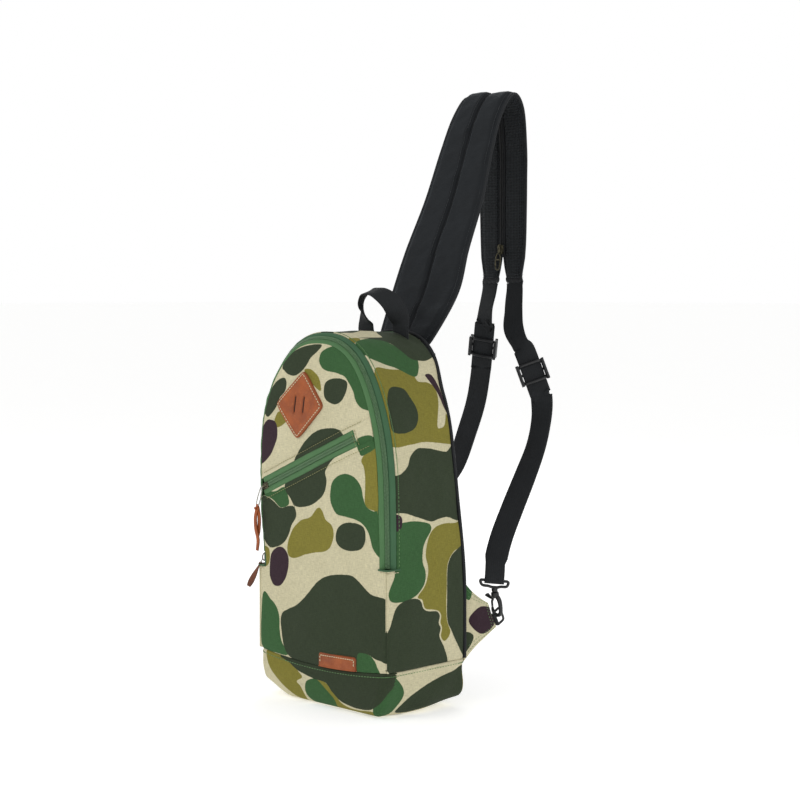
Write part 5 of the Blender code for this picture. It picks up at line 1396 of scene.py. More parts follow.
skin("pocket_thong_knot", kr, TAN, "pocket_pull", "leather", (), closed=True, attrs={"edge": np.full(kr.shape[0] * kr.shape[1], 0.25)})
strip_piece("pocket_thong_front", [tt + np.array([0.0004, 0, 0.0030]), tt + np.array([-0.0006, -0.0006, -0.004]), tt + np.array([-0.0016, -0.0012, -0.012]),
                                   tt + np.array([-0.0006, -0.0014, -0.024]), tt + np.array([0.0012, 0.0002, -0.036]), end_],
            (1, 0, 0), [0.0016, 0.0020, 0.0023, 0.0024, 0.0024, 0.0019], 0.0008, TAN, "pocket_pull", "leather", ("pocket_pull_thong",))
strip_piece("pocket_thong_back", [tt + np.array([-0.0004, 0.0008, 0.0030]), tt + np.array([0.0014, 0.0008, -0.005]), tt + np.array([0.0024, 0.0010, -0.014]),
                                  tt + np.array([0.0010, 0.0014, -0.026]), tt + np.array([-0.0004, 0.0012, -0.033])],
            (1, 0.25, 0), [0.0015, 0.0019, 0.0021, 0.0021, 0.0016], 0.0008, TAN, "pocket_pull", "leather", ())

# ================================================================ strap
STRAP = [(0.0610, 0.3740), (0.0660, 0.3830), (0.0730, 0.3940), (0.1030, 0.4440), (0.1230, 0.4930),
         (0.1510, 0.5510), (0.1730, 0.6100), (0.1920, 0.6520), (0.2140, 0.6760), (0.2310, 0.6600),
         (0.2370, 0.6130), (0.2370, 0.5750), (0.2370, 0.5400), (0.2370, 0.5050), (0.2365, 0.4810), (0.2360, 0.4580)]
WIDTH = [0.056, 0.066, 0.082, 0.101, 0.096, 0.089, 0.080, 0.075, 0.073, 0.072, 0.071, 0.071, 0.070, 0.068, 0.065, 0.063]
PAD_T, SPLIT_Z = 0.0074, 0.4900
raw = spline([(w_, y_, z_) for w_, (y_, z_) in zip(WIDTH, STRAP)], 10)
raw, sa = even(raw, 0.0040)
sw = raw[:, 0]
sc = np.stack([0 * sw, raw[:, 1], raw[:, 2]], 1)
stg = unit(np.gradient(sc, axis=0))
sn = np.stack([0 * sw, -stg[:, 2], stg[:, 1]], 1)
fall = (sc[:, 1] > 0.225) & (sc[:, 2] < 0.64)
open_k = np.where(fall, np.clip((SPLIT_Z - sc[:, 2]) / 0.03, 0, 1), 0)
inner = 0.0042 + 0.0035 * open_k
outer = sw / 2 - np.where(fall, 0.003 * np.clip((SPLIT_Z - 0.005 - sc[:, 2]) / 0.02, 0, 1), 0)
h = PAD_T / 2
NF = 22
ff = np.linspace(0, 1, NF)
tot = sa[-1]
for side, label in ((-1, "left"), (1, "right")):
    # the outer canvas closes over the zip; the mesh side stays open for it
    inner_c = 0.0011 + (inner - 0.0011) * open_k
    wd = (outer - inner)[:, None]
    xs = inner[:, None] + wd * ff[None, :]
    xc = inner_c[:, None] + (outer - inner_c)[:, None] * ff[None, :]
    d_in, d_out = xs - inner[:, None], outer[:, None] - xs
    end = np.minimum(sa, tot - sa)[:, None]
    bulge = ease(d_in / 0.0045) * ease((d_out - 0.0022) / 0.0060) * (0.35 + 0.65 * ease(end / 0.012))
    Sg_ = np.repeat(sa[:, None], NF, 1)
    wp = np.stack([Sg_, xs * side + 0.3], -1)
    fold = waves(wp * np.array([1.0, 0.25]), 26.0, 41 + side) * 0.00075 + waves(wp, 48.0, 44 + side) * 0.00026
    lowfold = np.exp(-((Sg_ - 0.055) / 0.055) ** 2) * waves(wp * np.array([1.0, 0.5]), 34.0, 47 + side) * 0.0011
    top = 0.0011 + (h + 0.0006 - 0.0011) * bulge + (fold + lowfold) * bulge
    bot = 0.0010 + (h - 0.0008 - 0.0010) * bulge + fold * 0.3 * bulge
    base = sc[:, None, :] + np.stack([side * xs, 0 * xs, 0 * xs], -1)
    base_c = sc[:, None, :] + np.stack([side * xc, 0 * xc, 0 * xc], -1)
    Nn = sn[:, None, :]
    flat_s = np.stack([xs * side, Sg_], -1)
    ob = slab("strap_canvas_" + label, base_c + Nn * top[..., None], base_c + Nn * (0 * top + 0.0001)[..., None], CANVAS_BLACK, "bag", "black_canvas",
              ("strap_pad_" + label,), None, flat_s, angle=70)
    slab("strap_lining_mesh_" + label, base - Nn * bot[..., None], base - Nn * (0 * top + 0.0)[..., None], AIR_MESH, "bag", "black_mesh",
         ("strap_mesh_" + label,), None, flat_s, angle=70)
    # bound edges
    for nm, xe, rad_ in (("outer", outer, 0.0017), ("inner", np.maximum(inner_c, 0.0011), 0.00104)):
        c = sc + np.stack([side * xe, 0 * xe, 0 * xe], 1)
        R_ = wire(c, rad_, 10, up=sn[0])
        mm = R_.mean(1, keepdims=True)
        q_ = ((R_ - mm) * sn[:, None, :]).sum(-1)
        R_ = R_ - sn[:, None, :] * (q_ * 0.12)[..., None]
        fl = np.stack([np.repeat(np.linspace(0, 0.010, 10)[None], len(c), 0), np.repeat(sa[:, None], 10, 1)], -1)
        skin("strap_edge_%s_%s" % (nm, label), R_, BINDING, "bag", "black_tape", (), flat=fl.reshape(-1, 2), angle=70)
    parts = []
    for xe in (outer - 0.0048, inner_c + 0.0034):
        c = sc + np.stack([side * xe, 0 * xe, 0 * xe], 1)
        i_ = np.arange(len(xe))
        col = np.clip(((xe - inner_c) / (outer - inner_c) * (NF - 1)).round().astype(int), 0, NF - 1)
        c = c + sn * (top[i_, col] + 0.00005)[:, None]
        parts.append(stitches(c[2:-2], sn[2:-2], 0.0040, 0.0029, 0.00030))
    v, fc = many(parts)
    build("stitch_strap_" + label, v, fc, THREAD_BLACK, "bag", None)
    # zip tape and its coil down the middle
    last = np.where(open_k > 0.02)[0][0]
    idx = np.arange(0, last + 1)
    zi = np.zeros(len(idx))
    prof = [(0.00005, -0.0023), (0.0012, -0.0026), (0.0036, -0.0026), (0.0044, -0.0014), (0.0042, -0.0006), (0.00005, -0.0006)]
    c = sc[idx]
    R_ = np.stack([c + np.stack([side * (zi + a_), 0 * zi, 0 * zi], 1) + sn[idx] * b_ for a_, b_ in prof], 1)
    fl = np.stack([np.stack([np.full(len(idx), a_), sa[idx]], -1) for a_, b_ in prof], 1)
    skin("strap_zip_tape_" + label, R_, BLACKTAPE, "bag", "black_tape", ("strap_zip_" + label,), flat=fl.reshape(-1, 2), angle=60)

    def splace(s_, a_, d_, side=side):
        yv, zv = np.interp(s_, sa, sc[:, 1]), np.interp(s_, sa, sc[:, 2])
        nv = np.stack([0 * s_, np.interp(s_, sa, sn[:, 1]), np.interp(s_, sa, sn[:, 2])], 1)
        return np.stack([side * a_, yv, zv], 1) - unit(nv) * (0.0024 + d_)[:, None]
    v, fc = teeth((0.02 + (PITCH / 2 if side > 0 else 0), sa[last]), splace, PITCH, 0.0026, 0.0001, 0.0012, 0.0005, 0.00048)
    build("strap_coil_" + label, v, fc, BLACK_COIL, "bag", "black_tape", (), angle=50)

STR_C = np.array([0, 0.2370 - 0.0012, 0.4950])
slider_piece("strap_slider_piece", STR_C, (0, 0, 1), (0, -1, 0), 0.0062, 0.0040, (0.0036, 0.0052), (-0.0042, -0.0030), ANTIQUE, "strap_slider", ("strap_zip_slider",))
STR_PIV = STR_C + np.array([0, -0.0074, -0.0045])
parts = []
lp = []
for q_ in np.linspace(0, 2 * math.pi, 40, endpoint=False):
    lp.append(STR_PIV + np.array([0.0038 * np.sign(math.sin(q_)) * abs(math.sin(q_)) ** 0.75, -0.0010 * (1 - math.cos(q_)), -0.0098 + 0.0098 * math.cos(q_)]))
parts.append(tube_data(wire(np.array(lp), 0.0008, 10, closed=True, up=(0, 1, 0)), closed=True))
parts.append(bar(STR_PIV + np.array([-0.0034, -0.0009, -0.0075]), STR_PIV + np.array([0.0034, -0.0009, -0.0075]), 0.0008, 10))
v, fc = many(parts)
build("strap_pull_piece", v, fc, ANTIQUE, "strap_pull", "antique_metal", ("strap_zip_pull",), angle=50)

# ================================================================ handle
HANDLE_Y, HZ = 0.0370, 0.4034


def web_piece(name, c, across, half, thick, mat, body, slot, rep, crown=0.25):
    """Woven band with thick soft edges."""
    t_ = unit(np.gradient(c, axis=0))
    A_ = unit(across - t_ * (across * t_).sum(1)[:, None])
    N_ = np.cross(t_, A_)
    d_ = np.r_[0, np.cumsum(np.linalg.norm(np.diff(c, axis=0), axis=1))]
    prof = [(-1, 0), (-0.985, 0.7), (-0.93, 1), (-0.6, 1), (-0.2, 1), (0.2, 1), (0.6, 1), (0.93, 1), (0.985, 0.7), (1, 0),
            (0.985, -0.7), (0.93, -1), (0.6, -1), (0.2, -1), (-0.2, -1), (-0.6, -1), (-0.93, -1), (-0.985, -0.7)]
    hf = np.broadcast_to(np.asarray(half, float), (len(c),))
    wav = waves(np.stack([d_, 0 * d_], -1), 22.0, 61) * 0.0002
    R_ = np.stack([c + A_ * (hf * a_)[:, None] + N_ * (thick * b_ + (wav * (1 - a_ * a_)))[:, None] for a_, b_ in prof], 1)
    fl = np.stack([np.stack([hf * a_, d_], -1) for a_, b_ in prof], 1)
    return skin(name, R_, mat, body, slot, rep, flat=fl.reshape(-1, 2), angle=60), (A_, N_, d_)


hp = spline([(-0.0270, HANDLE_Y, HZ), (-0.0275, HANDLE_Y - 0.003, HZ + 0.0130), (-0.0235, HANDLE_Y - 0.010, HZ + 0.0290),
             (-0.0110, HANDLE_Y - 0.016, HZ + 0.0400), (0.0, HANDLE_Y - 0.018, HZ + 0.0425), (0.0110, HANDLE_Y - 0.016, HZ + 0.0400),
             (0.0235, HANDLE_Y - 0.010, HZ + 0.0290), (0.0275, HANDLE_Y - 0.003, HZ + 0.0130), (0.0270, HANDLE_Y, HZ)], 10)
fr = np.linspace(0, 1, len(hp))
gq = np.clip((fr - 0.05) / 0.9, 0, 1)
ang = math.pi * gq + 0.30 * np.sin(2 * math.pi * gq)
ob, _ = web_piece("handle_loop", hp, np.stack([np.cos(ang), -np.sin(ang), -0.30 * np.sin(ang)], 1), 0.0118, 0.0009, WEBBING, "handle", "black_webbing", ("carry_handle",))
for vert in ob.data.vertices:
    # the two ends run down into the seam on top of the bag
    k_ = max(0.0, 1 - (vert.co.z - HZ + 0.001) / 0.006)
    if k_ > 0:
        floor_ = float(arch_z(vert.co.x, 0.0)) - 0.0008
        vert.co.z += (floor_ - vert.co.z) * min(1.0, k_)

# ================================================================ webbing tails
GLIDE = {"right": (np.array([0.0615, 0.2185, 0.3520]), unit(np.array([0.019, 0.010, -0.057])), 44),
         "left": (np.array([-0.0460, 0.2520, 0.3780]), unit(np.array([-0.016, 0.012, -0.044])), 26)}


def straight(p, t_):
    return [tuple(p + t_ * k_) for k_ in (-0.030, -0.024, 0.024, 0.030)]


ROUTES = {
    "right": ([(0.0195, 0.2358, 0.4565), (0.0215, 0.2325, 0.4460), (0.0310, 0.2200, 0.4250), (0.0385, 0.2115, 0.4030),
               (0.0485, 0.2113, 0.3850)] + straight(GLIDE["right"][0], GLIDE["right"][1])[1:]
              + [(0.0745, 0.2190, 0.3000), (0.0810, 0.2020, 0.2700), (0.0880, 0.1750, 0.2380), (0.0960, 0.1440, 0.2050),
                 (0.1030, 0.1180, 0.1760), (0.1070, 0.1040, 0.1530), (0.1080, 0.1010, 0.1385)],
              [0, -4, 2, 16, 4, 40, 46, 40, 12, 10, 30, 44, 44, 42, 42]),
    "left": ([(-0.0195, 0.2358, 0.4565), (-0.0212, 0.2360, 0.4460), (-0.0290, 0.2390, 0.4270), (-0.0365, 0.2440, 0.4060)]
             + straight(GLIDE["left"][0], GLIDE["left"][1])
             + [(-0.0640, 0.2600, 0.3130), (-0.0740, 0.2550, 0.2760), (-0.0840, 0.2400, 0.2280), (-0.0930, 0.2100, 0.1960),
                (-0.1010, 0.1650, 0.1700), (-0.1060, 0.1210, 0.1500), (-0.1080, 0.1010, 0.1385)],
             [0, -8, -12, 0, 20, 26, 26, 22, 18, 18, 10, -10, -40, -44, -42]),
}
BARS = {}
for label in ("left", "right"):
    route, angs = ROUTES[label]
    PERW = 8
    c = spline(route, PERW)
    an = np.radians(spline(np.c_[angs, np.zeros(len(angs)), np.zeros(len(angs))], PERW)[:, 0])
    t_ = unit(np.gradient(c, axis=0))
    Wv = np.stack([np.cos(an), np.sin(an), 0 * an], 1)
    Wv = unit(Wv - t_ * (Wv * t_).sum(1)[:, None])
    Nv = unit(np.cross(t_, Wv))
    ge = PERW * 8
    near = np.clip(1 - np.linalg.norm(c - c[-1], axis=1) / 0.030, 0, 1)
    i_ = np.arange(len(c))
    d1 = np.where(i_ >= ge, 0.0011 + 0.0017 * near, 0.0011 * np.clip((i_ - (ge - 6)) / 6, 0, 1))
    down = c + Nv * d1[:, None]
    up = c - Nv * (0.0011 + 0.0017 * near)[:, None]
    te = unit(c[-1] - c[-2])
    turn = []
    for k_ in range(1, 16):
        a_ = math.pi * k_ / 16
        turn.append(c[-1] + te * (0.0085 + 0.0028 * math.sin(a_)) + Nv[-1] * (0.0028 * math.cos(a_)))
    su = int(PERW * 5.7)
    fade = ease((i_ - su) / 10.0)
    up = c - Nv * (0.0009 + 0.0002 * fade + 0.0017 * near)[:, None]
    path = np.r_[down, np.array(turn), up[su:][::-1]]
    wall = np.r_[Wv, np.repeat(Wv[-1:], 15, 0), Wv[su:][::-1]]
    nr = np.clip(1 - np.linalg.norm(path - c[-1], axis=1) / 0.018, 0, 1)
    half = 0.0125 * (1 - 0.14 * ease(nr * 2.2))
    web_piece("webbing_tail_" + label, path, wall, half, 0.0007, WEBBING, "bag", "black_webbing", ("webbing_" + label,))
    BARS[label] = (c[-1] + te * 0.0085, Wv[-1])
    # the sewn end of the strap half, a folded tab with cut ends: only its bar of stitches is drawn here, front and back
    sd = 1 if label == "right" else -1
    e0 = np.array([sd * 0.0195, 0.2358, 0.4580])
    parts = []
    for zz_ in (0.4620, 0.4650):
        P = np.array([[sd * xx, 0.2358 - PAD_T / 2 - 0.0001, zz_] for xx in np.linspace(0.0095, 0.0300, 10)])
        parts.append(stitches(P, (0, -1, 0), 0.0030, 0.0022, 0.0003))
        P2_ = P + np.array([0, PAD_T + 0.0008, 0])
        parts.append(stitches(P2_, (0, 1, 0), 0.0030, 0.0022, 0.0003))
    v, fc = many(parts)
    build("stitch_strap_end_" + label, v, fc, THREAD_BLACK, "bag", None)
    # end cap tape of the strap half
    xs_ = np.linspace(inner[-1] - 0.0006, outer[-1] + 0.0010, 18)
    cc = np.stack([sd * xs_, np.full_like(xs_, 0.2360), 0.4588 + 0.0006 * np.sin(xs_ * 900)], 1)
    ring_ = wire(cc, 0.0026, 12, up=(0, 1, 0))
    m2 = ring_.mean(1, keepdims=True)
    ring_[..., 2] = m2[..., 2] + (ring_[..., 2] - m2[..., 2]) * 1.5
    ring_[..., 1] = m2[..., 1] + (ring_[..., 1] - m2[..., 1]) * 0.95
    fl = np.stack([np.repeat(xs_[:, None], 12, 1), np.repeat(np.linspace(0, 0.016, 12)[None], 18, 0)], -1)
    skin("strap_end_tape_" + label, ring_, BINDING, "bag", "black_tape", (), flat=fl.reshape(-1, 2), angle=60)
    # tri-glide
    gp, gt, ga = GLIDE[label]
    gw = np.array([math.cos(math.radians(ga)), math.sin(math.radians(ga)), 0])
    gw = unit(gw - gt * (gw @ gt))
    gn = unit(np.cross(gt, gw))
    L = lambda a_, b_, c_: gp + gw * a_ + gn * b_ + gt * c_
    frame_pts = []
    for q_ in np.linspace(0, 2 * math.pi, 48, endpoint=False):
        cs, sn_ = math.cos(q_), math.sin(q_)
        a_ = 0.0151 * np.sign(cs) * min(1.0, abs(cs) ** 0.35)
        c_ = 0.0108 * np.sign(sn_) * min(1.0, abs(sn_) ** 0.35)
        b_ = 0.0024 * (1 - ease((abs(a_) - 0.0105) / 0.004)) if abs(c_) > 0.008 else 0.0
        frame_pts.append(L(a_, b_, c_))
    fp, _s = even(np.r_[frame_pts, frame_pts[:1]], 0.0014)
    fp = fp[:-1]
    R_ = wire(fp, 0.0019, 12, closed=True, up=gn)
    parts = [tube_data(R_, closed=True)]
    for sg in (-1, 1):
        parts.append(bar(L(sg * 0.0151, -0.0028, 0.0098), L(sg * 0.0151, -0.0028, -0.0098), 0.0019, 12, 0.5))
        parts.append(bar(L(sg * 0.0151, 0.0024, 0.0098), L(sg * 0.0151, 0.0024, -0.0098), 0.0019, 12, 0.5))
        o_ = [(0.0118, 0.0034), (0.0106, 0.0042), (-0.0106, 0.0042), (-0.0118, 0.0034), (-0.0118, -0.0034), (-0.0106, -0.0042), (0.0106, -0.0042), (0.0118, -0.0034)]
        o_ = spline(np.c_[np.array(o_), np.zeros(8)], 3, closed=True)[:, :2]
        parts.append(plate(o_, -0.0015, 0.0017, L(sg * 0.0153, 0, 0), gt, gn, gw, 0.0006))
    parts.append(bar(L(-0.0150, -0.0026, 0), L(0.0150, -0.0026, 0), 0.0016, 12, 0.3))
    v, fc = many(parts)
    build("glide_piece_" + label, v, fc, PLASTIC, "glide_" + label, "black_plastic", ("tri_glide_" + label,), angle=50)

# ================================================================ wing tabs, rings and snap hooks
EDGE_TOP, EDGE_LOW = np.array([0.107, 0.090, 0.107]), np.array([0.107, 0.104, 0.079])
EDGE = unit(EDGE_LOW - EDGE_TOP)
EDGE_OUT = unit(np.array([0, -EDGE[2], EDGE[1]]))
if EDGE_OUT[1] < 0:
    EDGE_OUT = -EDGE_OUT
RING_A = EDGE_TOP + EDGE * 0.0150 + EDGE_OUT * 0.0026
RING_B = EDGE_TOP + EDGE * 0.0310 + EDGE_OUT * 0.0026
RING_REACH = 0.0120
TAB_BLOBS = {"plum": [[(72, 100), (80, 104), (92, 102), (100, 92), (101, 84), (92, 76), (82, 74), (72, 80), (66, 90)]],
             "dark": [[(50, 48), (66, 60), (72, 72), (64, 78), (50, 76)]],
             "mid": [[(58, 120), (66, 112), (70, 122), (62, 130)]], "olive": []}
for side, label in ((1, "right"), (-1, "left")):
    mir = np.array([side, 1.0, 1.0])
    bar_c, wvec = BARS[label]
    A0, A1 = np.array([0.0985, float(y_back(0.130)) - 0.0005, 0.132]), np.array([0.0985, float(y_back(0.048)) - 0.0005, 0.0465])
    n1, n2 = 26, 30
    u_, w_ = np.meshgrid(np.linspace(0, 1, n1), np.linspace(0, 1, n2), indexing="ij")
    P = (A0 * (1 - w_)[..., None] + A1 * w_[..., None]) * (1 - u_)[..., None] + (EDGE_TOP * (1 - w_)[..., None] + EDGE_LOW * w_[..., None]) * u_[..., None]
    P[..., 1] = P[..., 1]
    # slightly hollow upper and lower edges, and a soft wave through the tab
    P[..., 2] += -0.0022 * np.sin(u_ * math.pi) * (1 - 2 * w_)
    P[..., 0] += 0.0012 * np.sin(u_ * math.pi) * np.sin(w_ * math.pi) + waves(np.stack([u_, w_], -1) * 0.05, 30.0, 71) * 0.0004
    e_ = np.minimum(np.minimum(w_, 1 - w_) * 0.04, (1 - u_) * 0.045)
    th = 0.0013 * ease(e_ / 0.0012 + 0.25) + 0.0004
    N_ = np.array([1.0, 0, 0])
    st = 0.0004 * (np.exp(-((e_ - 0.0028) / 0.0006) ** 2) + np.exp(-((e_ - 0.0062) / 0.0006) ** 2))
    flat = np.stack([P[..., 1], P[..., 2]], -1)
    A_ = camo(flat, TAB_BLOBS)
    slab("tab_canvas_" + label, (P + N_ * (th - st)[..., None]) * mir, (P - N_ * (th - st)[..., None]) * mir, CAMO, "bag", "camo", ("side_tab_" + label,), A_, flat, angle=60)
    parts = []
    for ins in (0.0028, 0.0062):
        ui = 1 - ins / 0.045
        wi = ins / 0.04
        line = []
        for t0_ in np.linspace(0.08, ui, 16):
            line.append((t0_, 1 - wi * (1 - t0_ * 0.25)))
        for t0_ in np.linspace(1 - wi, wi, 14)[1:-1]:
            line.append((ui, t0_))
        for t0_ in np.linspace(ui, 0.08, 16):
            line.append((t0_, wi * (1 - t0_ * 0.25)))
        line = np.array(line)
        for sg in (1, -1):
            q_ = (A0 * (1 - line[:, 1:]) + A1 * line[:, 1:]) * (1 - line[:, :1]) + (EDGE_TOP * (1 - line[:, 1:]) + EDGE_LOW * line[:, 1:]) * line[:, :1]
            q_[:, 2] += -0.0022 * np.sin(line[:, 0] * math.pi) * (1 - 2 * line[:, 1])
            q_[:, 0] += 0.0012 * np.sin(line[:, 0] * math.pi) * np.sin(line[:, 1] * math.pi) + waves(line * 0.05, 30.0, 71) * 0.0004 + sg * 0.00150
            parts.append(stitches(q_ * mir, (sg * side, 0, 0), 0.0036, 0.0026, 0.0003))
    v, fc = many(parts)
    build("stitch_tab_" + label, v, fc, THREAD_GREEN, "bag", None)
    # webbing keeper that holds the ring
    kc = (RING_A + RING_B) / 2
    keep = []
    for q_ in np.linspace(-0.6, 1.6, 15) * math.pi:
        keep.append(kc + EDGE_OUT * (0.0021 * math.sin(q_ / 2.2 + 0.5) * 0 + 0.0022 * math.cos(q_)) + np.array([0.0022 * math.sin(q_), 0, 0]))
    keep = np.array(keep)
    ob, _k = web_piece("tab_keeper_" + label, keep * mir, np.repeat((EDGE * mir)[None], len(keep), 0), 0.0066, 0.0005, WEBBING, "bag", "black_webbing", ())
    a_, b_ = RING_A, RING_B
    c_, d_ = b_ + EDGE_OUT * RING_REACH, a_ + EDGE_OUT * RING_REACH
    cs, pts = [a_, b_, c_, d_], []
    for k_ in range(4):
        p0, p1, p2 = cs[k_ - 1], cs[k_], cs[(k_ + 1) % 4]
        u0, v0 = unit(p0 - p1), unit(p2 - p1)
        for q_ in range(8):
            f_ = q_ / 7
            pts.append(p1 + u0 * 0.0030 * (1 - f_) ** 2 + v0 * 0.0030 * f_ ** 2)
    skin("ring_piece_" + label, wire(np.array(pts) * mir, 0.00135, 12, closed=True, up=(1, 0, 0)), PLASTIC, "ring_" + label, "black_plastic", ("tab_ring_" + label,), closed=True)
    leg = RING_A + EDGE_OUT * (RING_REACH * 0.57)
    axis = unit(np.array([0, 0.16, -0.987]))
    upv, xo = -axis, np.array([1.0, 0, 0])
    cen_ = leg + axis * 0.0005
    hook = [cen_ + upv * 0.0175 + xo * 0.0004, cen_ + upv * 0.0150 + xo * 0.0030, cen_ + upv * 0.0120 + xo * 0.0050, cen_ + upv * 0.0080 + xo * 0.0059, cen_ + upv * 0.0035 + xo * 0.0060]
    for k_ in range(9):
        q_ = math.pi * k_ / 8
        hook.append(cen_ + xo * (0.0058 * math.cos(q_)) - upv * (0.0058 * math.sin(q_)))
    hook.append(cen_ + upv * 0.0016 - xo * 0.0059)
    hook.append(cen_ + upv * 0.0031 - xo * 0.0058)
    hp_ = spline(hook, 4)
    rad_ = np.interp(np.linspace(0, 1, len(hp_)), [0, 0.12, 0.3, 0.6, 0.85, 1.0], [0.0026, 0.0026, 0.0023, 0.0021, 0.0018, 0.0013])
    parts = [tube_data(wire(hp_ * mir, rad_, 12, up=(0, 1, 0)))]
    cr = [(0.0138, 0.0026), (0.0146, 0.0038), (0.0156, 0.0043), (0.0172, 0.0044), (0.0190, 0.0043), (0.0202, 0.0038), (0.0206, 0.0028)]
    cpts = np.array([cen_ + upv * q_ for q_, _ in cr]) * mir
    parts.append(tube_data(wire(cpts, [r_ for _, r_ in cr], 20, up=(1, 0, 0))))
    v, fc = many(parts)
    build("hook_piece_" + label, v, fc, PLASTIC, "hook_" + label, "black_plastic", ("snap_hook_" + label,), angle=50)
    piv = cen_ + upv * 0.0122 - xo * 0.0042
    gate = spline([cen_ + upv * 0.0038 - xo * 0.0058, cen_ + upv * 0.0090 - xo * 0.0056, piv, cen_ + upv * 0.0136 - xo * 0.0078, cen_ + upv * 0.0160 - xo * 0.0122], 5)
    rg = np.interp(np.linspace(0, 1, len(gate)), [0, 0.5, 0.72, 1.0], [0.0012, 0.0014, 0.0015, 0.0019])
    R_ = wire(gate * mir, rg, 12, up=(0, 1, 0))
    m2 = R_.mean(1, keepdims=True)
    fy = np.interp(np.linspace(0, 1, len(gate)), [0, 0.6, 1.0], [0, 0.1, 0.8])[:, None]
    R_[..., 1] += (R_[..., 1] - m2[..., 1]) * fy
    skin("gate_piece_" + label, R_, PLASTIC, "gate_" + label, "black_plastic", ("snap_gate_" + label,), angle=60)
    boss = (cen_ + upv * 0.0240) * mir
    rise = unit(bar_c - boss)
    hf_ = 0.0150
    low_ = boss + rise * 0.0016
    path = [bar_c - wvec * hf_ * 0.6, bar_c - wvec * hf_ * 0.92, bar_c - wvec * hf_ * 1.02 - rise * 0.0016, bar_c - wvec * hf_ * 0.88 - rise * 0.0060, low_ - wvec * 0.0070 + rise * 0.0012,
            low_ - wvec * 0.0030 + rise * 0.0002, low_ + wvec * 0.0030 + rise * 0.0002, low_ + wvec * 0.0070 + rise * 0.0012,
            bar_c + wvec * hf_ * 0.88 - rise * 0.0060, bar_c + wvec * hf_ * 1.02 - rise * 0.0016, bar_c + wvec * hf_ * 0.92, bar_c + wvec * hf_ * 0.6, bar_c]
    pth = spline(path, 5, closed=True)
    parts = [tube_data(wire(pth, 0.0016, 12, closed=True, up=np.cross(wvec, rise)), closed=True)]
    b0, b1 = (cen_ + upv * 0.0209) * mir, boss + rise * 0.0016
    bp = np.array([b0, b0 + (b1 - b0) * 0.15, b0 + (b1 - b0) * 0.6, b1])
    parts.append(tube_data(wire(bp, [0.0026, 0.0033, 0.0034, 0.0024], 16, up=(1, 0, 0))))
    v, fc = many(parts)
    build("eye_piece_" + label, v, fc, PLASTIC, "bag", "black_plastic", ("swivel_eye_" + label,), angle=50)

# ================================================================ back panel


def back_grid(off, nx_=70, nz_=110):
    x_ = (0.5 * np.sin(np.linspace(-math.pi / 2, math.pi / 2, nx_)) + 0.5 * np.linspace(-1, 1, nx_)) * (HALF_W - off)
    zt = arch_z(x_, off)
    zz_ = BOOT_Z + 0.0006 + (zt[None, :] - BOOT_Z - 0.0006) * np.linspace(0, 1, nz_)[:, None]
    return np.repeat(x_[None], nz_, 0), zz_, np.minimum(zt[None, :] - zz_, HALF_W - off - np.abs(x_)[None, :])


X, Z, D = back_grid(0.0010)
chan = np.exp(-(X / 0.0034) ** 2)
for zc, lean_ in ((0.128, 0.16), (0.214, 0.16), (0.300, 0.16)):
    chan = np.maximum(chan, np.exp(-((Z - zc + np.abs(X) * lean_) / 0.0030) ** 2) * ease((np.abs(X) - 0.002) / 0.004))
rimq = np.exp(-((D - 0.0105) / 0.0022) ** 2)
puffy = ease((D - 0.002) / 0.010) * 0.0030 - chan * 0.0032 * ease(D / 0.012) - rimq * 0.0014
puffy += waves(np.stack([X, Z], -1), 22.0, 81) * 0.0003
Y = y_back(Z) - 0.0006 + puffy
F = np.stack([X, Y, Z], -1)
B = np.stack([X, y_back(Z) - 0.0030, Z], -1)
flat = np.stack([X, Z], -1)
ob = slab("back_air_mesh", F, B, AIR_MESH, "bag", "black_mesh", ("back_mesh",), None, flat, angle=70)
X, Z, D = back_grid(0.0040, 40, 60)
slab("back_foam_core", np.stack([X, y_back(Z) - 0.0034, Z], -1), np.stack([X, y_back(Z) - 0.0090, Z], -1), FOAM, "bag", "foam", ("back_foam",), angle=60)
# piping round the back edge
s = np.linspace(BOOT_Z + 0.001, LENGTH - BOOT_Z - 0.001, 260)
x, z, nx, nz = outline(s)
P = np.stack([x + nx * 0.0002, y_back(z) - 0.0014, z + nz * 0.0002], -1)
P = swell(P)
R_ = wire(P, 0.0019, 10, up=(0, 1, 0))
fl = np.stack([np.repeat(np.linspace(0, 0.011, 10)[None], len(s), 0), np.repeat(s[:, None], 10, 1)], -1)
skin("back_piping", R_, BINDING, "bag", "black_tape", (), flat=fl.reshape(-1, 2), angle=60)
# quilting threads, down the centre channel only
parts = []
zz = np.linspace(0.060, 0.385, 80)
parts.append(stitches(np.stack([0 * zz, y_back(zz) - 0.0006 + 0.0030 - 0.0031, zz], -1), (0, 1, 0), 0.0042, 0.0030, 0.0003))
v, fc = many(parts)
build("stitch_back", v, fc, THREAD_BLACK, "bag", None)
# a turned band that covers where the strap is sewn to the top of the back
xs_ = np.linspace(-0.0560, 0.0560, 40)
cz = np.interp(np.abs(xs_), [0, 0.03, 0.045, 0.056], [0.3790, 0.3775, 0.3740, 0.3700])
cc = np.stack([xs_, y_back(cz) + 0.0040, cz], 1)
web_piece("strap_seam_band", cc, np.repeat(np.array([[0, 0.30, 0.95]]), 40, 0), 0.0085, 0.0008, WEBBING, "bag", "black_webbing", ())

